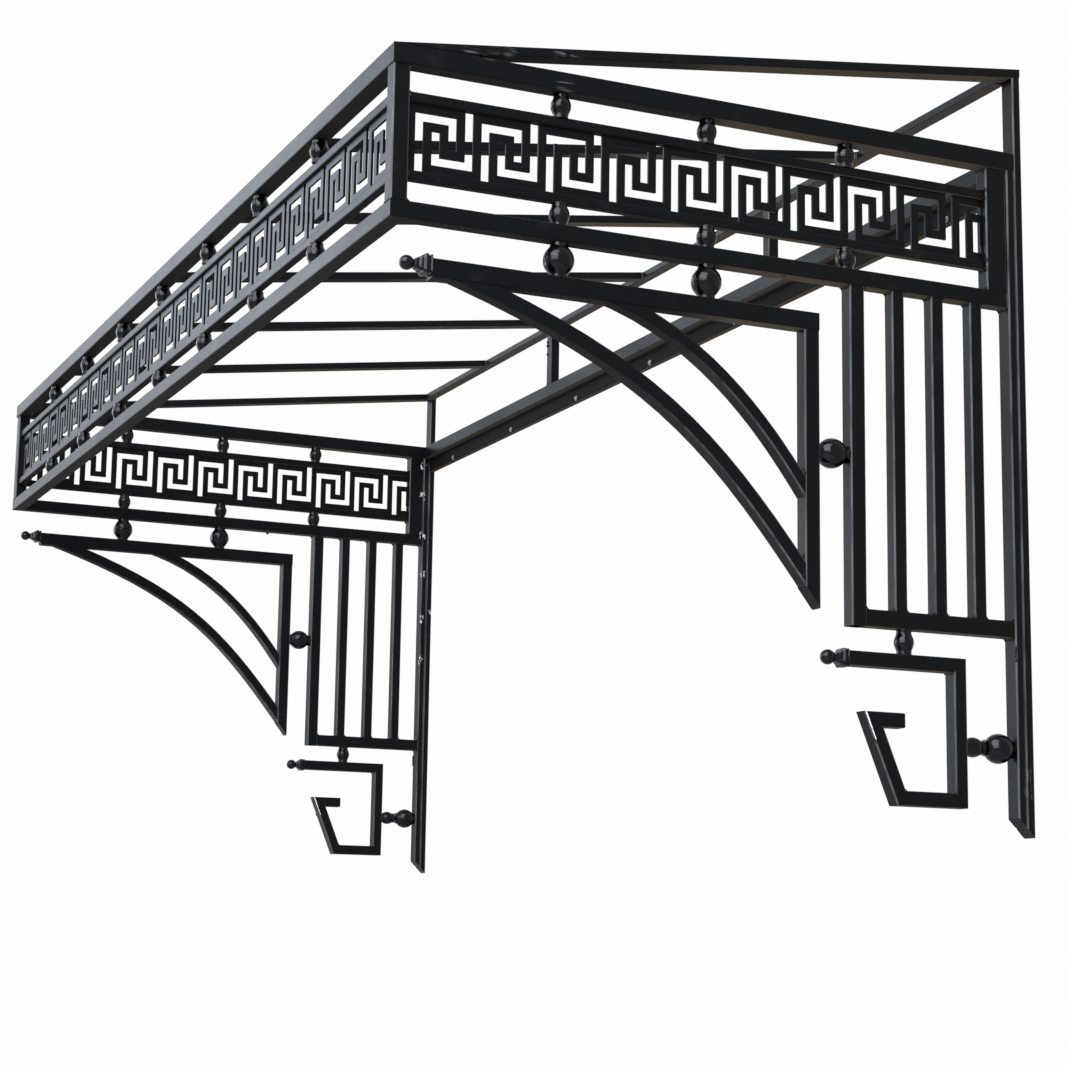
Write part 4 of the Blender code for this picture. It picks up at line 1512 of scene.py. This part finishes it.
    def _make(self, kind: SeamKind, lines: list[list[Vector]], material: bpy.types.Material) -> None:
        """Turns lines into uneven beads or fillets.

        Args:
            kind: How they look.
            lines: The seams.
            material: Their material.
        """
        tree = GeometryTree(kind.piece)
        curve = tree.node("GeometryNodeMeshToCurve", {0: tree.source})
        spacing = tree.size("Spacing", self.spacing)
        even = tree.node("GeometryNodeResampleCurve", {"Curve": curve, "Length": spacing}, mode="LENGTH")
        scale = tree.size("Noise scale", self.noise_scale)
        low, high = self.noise_levels
        sockets = {
            "Value": tree.node("ShaderNodeTexNoise", {"Scale": scale, "Detail": 2.0}),
            "From Min": low,
            "From Max": high,
            "To Min": tree.size("Thinnest", kind.radius * (1 - kind.unevenness)),
            "To Max": tree.size("Thickest", kind.radius * (1 + kind.unevenness)),
        }
        width = tree.node("ShaderNodeMapRange", sockets, "Result")
        ring = tree.ring(tree.size("Corners", kind.corners))
        if kind.hollow:
            place = tree.node("GeometryNodeInputPosition")
            cube = tree.vector_maths("MULTIPLY", tree.vector_maths("MULTIPLY", place, place), place)
            ring = tree.node("GeometryNodeSetPosition", {"Geometry": ring, "Position": cube})
        bead = tree.tube(even, ring, Scale=width)
        moved = tree.uneven(bead, self.wander_scale, 1.0, tree.size("Wander", kind.wander * 2))
        tree.run(lines, moved, material, Slot.FRAME)


@dataclass
class WeldLumps:
    """Uneven drops of weld metal under the paint, where bars were tacked together.

    The places are on the outer faces of both sides, as depth and height. The single ones are at the rear.
    """

    radius: float = 0.0042
    unevenness: float = 0.0036
    noise_scale: float = 260.0
    fineness: int = 4
    flatness: float = 0.6
    face: float = 1.7222
    single: tuple[Point, ...] = (
        (-0.0226, -0.0400, 0.0180),
        (-0.6572, -0.0400, 0.1900),
        (-0.6580, -0.0400, 0.1795),
        (-0.6575, -0.0400, 0.1520),
    )
    places: tuple[Pair, ...] = (
        (-0.5875, -0.2905),
        (-0.3796, -1.2272),
        (-0.5405, -0.6974),
        (-0.0912, -0.0340),
        (-0.0912, -0.0530),
        (-0.0912, -0.1900),
        (-0.0912, -0.2100),
        (-1.4092, -0.0440),
        (-1.4092, -0.2000),
    )

    def build(self, finishes: Finishes) -> None:
        """Makes all lumps as one piece.

        Args:
            finishes: The materials.
        """
        points = [Vector(point) for point in self.single]
        for side, _ in SIDES:
            points += [Vector((side * (self.face - self.radius * 0.5), y, z)) for y, z in self.places]
        tree = GeometryTree("weld_lumps")
        radius = tree.size("Radius", self.radius)
        fineness = tree.size("Fineness", self.fineness)
        ball = tree.node("GeometryNodeMeshIcoSphere", {"Radius": radius, "Subdivisions": fineness})
        flat = tree.spread(ball, Scale=(self.flatness, 1.0, 1.0))
        lumps = tree.node("GeometryNodeRealizeInstances", {0: flat})
        scale = tree.size("Noise scale", self.noise_scale)
        moved = tree.uneven(lumps, scale, 2.0, tree.size("Unevenness", self.unevenness * 2))
        tree.run([[point] for point in points], moved, finishes.weld, Slot.FRAME)


@dataclass
class WallScrews:
    """A washer and a hexagon head on each hole of the wall rail."""

    pitch: float = 0.490
    each_side: int = 3
    height_above_rail: float = 0.010
    washer_radius: float = 0.0078
    washer_thickness: float = 0.0012
    washer_sides: int = 24
    head_radius: float = 0.0056
    head_taper: float = 0.86
    head_height: float = 0.0036
    head_sides: int = 6
    sharp: float = 25.0

    def build(self, finishes: Finishes) -> None:
        """Makes all screws as one piece.

        Args:
            finishes: The materials.
        """
        rail = Box.of("wall_rail")
        z = rail.low.z + self.height_above_rail
        steps = range(-self.each_side, self.each_side + 1)
        places = [[Vector((step * self.pitch, rail.low.y, z))] for step in steps]
        tree = GeometryTree("wall_screws")
        washer = {
            "Vertices": self.washer_sides,
            "Radius": tree.size("Washer radius", self.washer_radius),
            "Depth": tree.size("Washer thickness", self.washer_thickness),
        }
        head = {
            "Vertices": self.head_sides,
            "Radius Top": tree.size("Head top radius", self.head_radius * self.head_taper),
            "Radius Bottom": tree.size("Head radius", self.head_radius),
            "Depth": tree.size("Head height", self.head_height),
        }
        both = tree.node(
            "GeometryNodeJoinGeometry", {0: tree.node("GeometryNodeMeshCylinder", washer, "Mesh")}
        )
        tree.link(tree.node("GeometryNodeMeshCone", head, "Mesh"), both.socket.node.inputs[0])
        turned = tree.spread(both, Rotation=(math.pi / 2, 0.0, 0.0))
        tree.run(places, turned, finishes.screw, Slot.FINIAL, self.sharp)


class CadFinishes:
    """Puts paint on the CAD nodes that stay."""

    def build(self, frame: dict[str, Any], finishes: Finishes) -> None:
        """Assigns a material to every CAD node.

        Args:
            finishes: The materials.
        """
        for name, node in frame["nodes"].items():
            material = finishes.frame
            if "finial" in name:
                material = finishes.ball
            elif name.endswith("post"):
                material = finishes.post
            elif name == "wall_rail":
                material = finishes.wall_rail
            node.data.materials.clear()
            node.data.materials.append(material)
        LOG.info("paint on %d nodes", len(frame["nodes"]))


# Studio


@dataclass
class PhotoCamera:
    """The camera of the photograph: below and to the right of the canopy, looking up at it."""

    place: Point = (5.6812, -2.8977, -1.6403)
    turn_degrees: float = 66.0557
    tilt_degrees: float = 10.0474
    roll_degrees: float = 0.9317
    lens: float = 78.327
    frame_pixels: float = 1066.0
    centre_across: float = 532.109
    centre_down: float = 533.105
    reach: float = 100.0

    def build(self) -> None:
        """Makes the camera and makes it the scene's own."""
        data = bpy.data.cameras.new("photo_camera")
        data.lens = self.lens
        data.clip_end = self.reach
        half = self.frame_pixels / 2
        data.shift_x = (half - self.centre_across) / self.frame_pixels
        data.shift_y = (self.centre_down - half) / self.frame_pixels
        camera = add_object("photo_camera", data)
        turns = ((self.turn_degrees, "Z"), (90.0 + self.tilt_degrees, "X"), (self.roll_degrees, "Z"))
        pose = Matrix.Translation(self.place)
        for degrees, axis in turns:
            pose = pose @ Matrix.Rotation(math.radians(degrees), 4, axis)
        camera.matrix_world = pose
        bpy.context.scene.camera = camera


@dataclass
class SoftLight:
    """One large soft lamp, aimed at a point."""

    name: str
    place: Point
    target: Point
    width: float
    height: float
    watts: float
    colour: tuple[float, float, float] = (0.92, 0.95, 1.0)

    def build(self) -> None:
        """Makes the lamp."""
        data = bpy.data.lights.new(self.name, "AREA")
        data.shape = "RECTANGLE"
        data.size = self.width
        data.size_y = self.height
        data.energy = self.watts
        data.color = self.colour
        lamp = add_object(self.name, data)
        way = Vector(self.target) - Vector(self.place)
        turn = way.to_track_quat("-Z", "Y").to_matrix().to_4x4()
        lamp.matrix_world = Matrix.Translation(Vector(self.place)) @ turn


@dataclass
class Studio:
    """A plain pale floor under the canopy, a white backdrop and soft light."""

    floor_middle: Point = (0.0, -0.7, -2.90)
    floor_radius: float = 7.0
    floor_sides: int = 96
    floor_colour: Colour = (0.62, 0.59, 0.56, 1.0)
    floor_roughness: float = 0.85
    backdrop: Colour = (0.985, 0.985, 0.990, 1.0)
    sky: Colour = (0.56, 0.60, 0.68, 1.0)
    ground: Colour = (0.16, 0.13, 0.10, 1.0)
    horizon: Pair = (-0.12, 0.45)
    sky_strength: float = 0.6
    lights: tuple[SoftLight, ...] = (
        SoftLight("far_window", (-8.0, -3.7, 2.2), (0.0, -1.4, -0.1), 4.5, 3.6, 58.0, COOL_LIGHT),
        SoftLight("left_window", (-8.0, -5.2, 3.2), (0.5, -1.2, -0.2), 3.0, 2.6, 84.0, COOL_LIGHT),
        SoftLight("front_window", (-7.0, -7.2, 0.6), (1.7, -0.4, -0.8), 3.6, 4.2, 290.0, COOL_LIGHT),
        SoftLight("centre_window", (-0.6, -7.6, 3.4), (1.0, -0.8, -0.2), 6.0, 5.0, 420.0, PALE_LIGHT),
        SoftLight("street_window", (5.9, -6.1, 1.6), (1.7, -0.8, -0.3), 6.0, 4.0, 640.0),
        SoftLight("high_window", (4.3, -4.7, 4.4), (1.7, -0.8, 0.0), 6.2, 5.2, 980.0),
    )

    def build(self) -> None:
        """Makes the floor, the world and the lamps."""
        self._floor()
        self._world()
        for light in self.lights:
            light.build()
        bpy.context.scene.view_settings.view_transform = "Standard"

    def _floor(self) -> None:
        """Makes a round floor that lets the camera look through it from below."""
        shape = bmesh.new()
        middle = Matrix.Translation(self.floor_middle)
        bmesh.ops.create_circle(
            shape, cap_ends=True, segments=self.floor_sides, radius=self.floor_radius, matrix=middle
        )
        mesh = bpy.data.meshes.new("floor")
        shape.to_mesh(mesh)
        shape.free()
        floor = add_object("floor", mesh)
        tree = ShaderTree("pale_floor")
        sockets = {"Base Color": self.floor_colour, "Roughness": self.floor_roughness}
        paint = tree.node("ShaderNodeBsdfPrincipled", sockets)
        behind = tree.node("ShaderNodeNewGeometry", output="Backfacing")
        clear = tree.node("ShaderNodeBsdfTransparent")
        seen = tree.node("ShaderNodeMixShader", {0: behind, 1: paint, 2: clear})
        tree.end("ShaderNodeOutputMaterial", seen)
        mesh.materials.append(tree.material)

    def _world(self) -> None:
        """Makes a white backdrop for the camera and a soft sky over warm ground for everything else."""
        world = bpy.data.worlds.new("studio")
        world.use_nodes = True
        bpy.context.scene.world = world
        tree = NodeTree(world.node_tree)
        height = tree.part(tree.node("ShaderNodeTexCoord", output="Generated"), "Z")
        tone = tree.mix(tree.ramp(height, *self.horizon), self.ground, self.sky)
        light = tree.node("ShaderNodeBackground", {"Color": tone, "Strength": self.sky_strength})
        back = tree.node("ShaderNodeBackground", {"Color": self.backdrop, "Strength": 1.0})
        seen = tree.node("ShaderNodeLightPath", output="Is Camera Ray")
        for ray in ("Is Glossy Ray", "Is Transmission Ray"):
            seen = tree.maths("MAXIMUM", seen, tree.node("ShaderNodeLightPath", output=ray))
        tree.end("ShaderNodeOutputWorld", tree.node("ShaderNodeMixShader", {0: seen, 1: light, 2: back}))


def main() -> None:
    """Builds the whole scene in order."""
    logging.basicConfig(level=logging.INFO, format="%(name)s: %(message)s")
    for item in list(bpy.data.objects):
        bpy.data.objects.remove(item, do_unlink=True)
    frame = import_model()
    finishes = Finishes.make()
    CadFinishes().build(frame, finishes)
    parts = (Balls(), Finials(), EndPlates(), HookSeams(), FilledJoints(), Welds(), WeldLumps(), WallScrews())
    for part in parts:
        part.build(finishes)
    PhotoCamera().build()
    Studio().build()


if __name__ == "__main__":
    main()
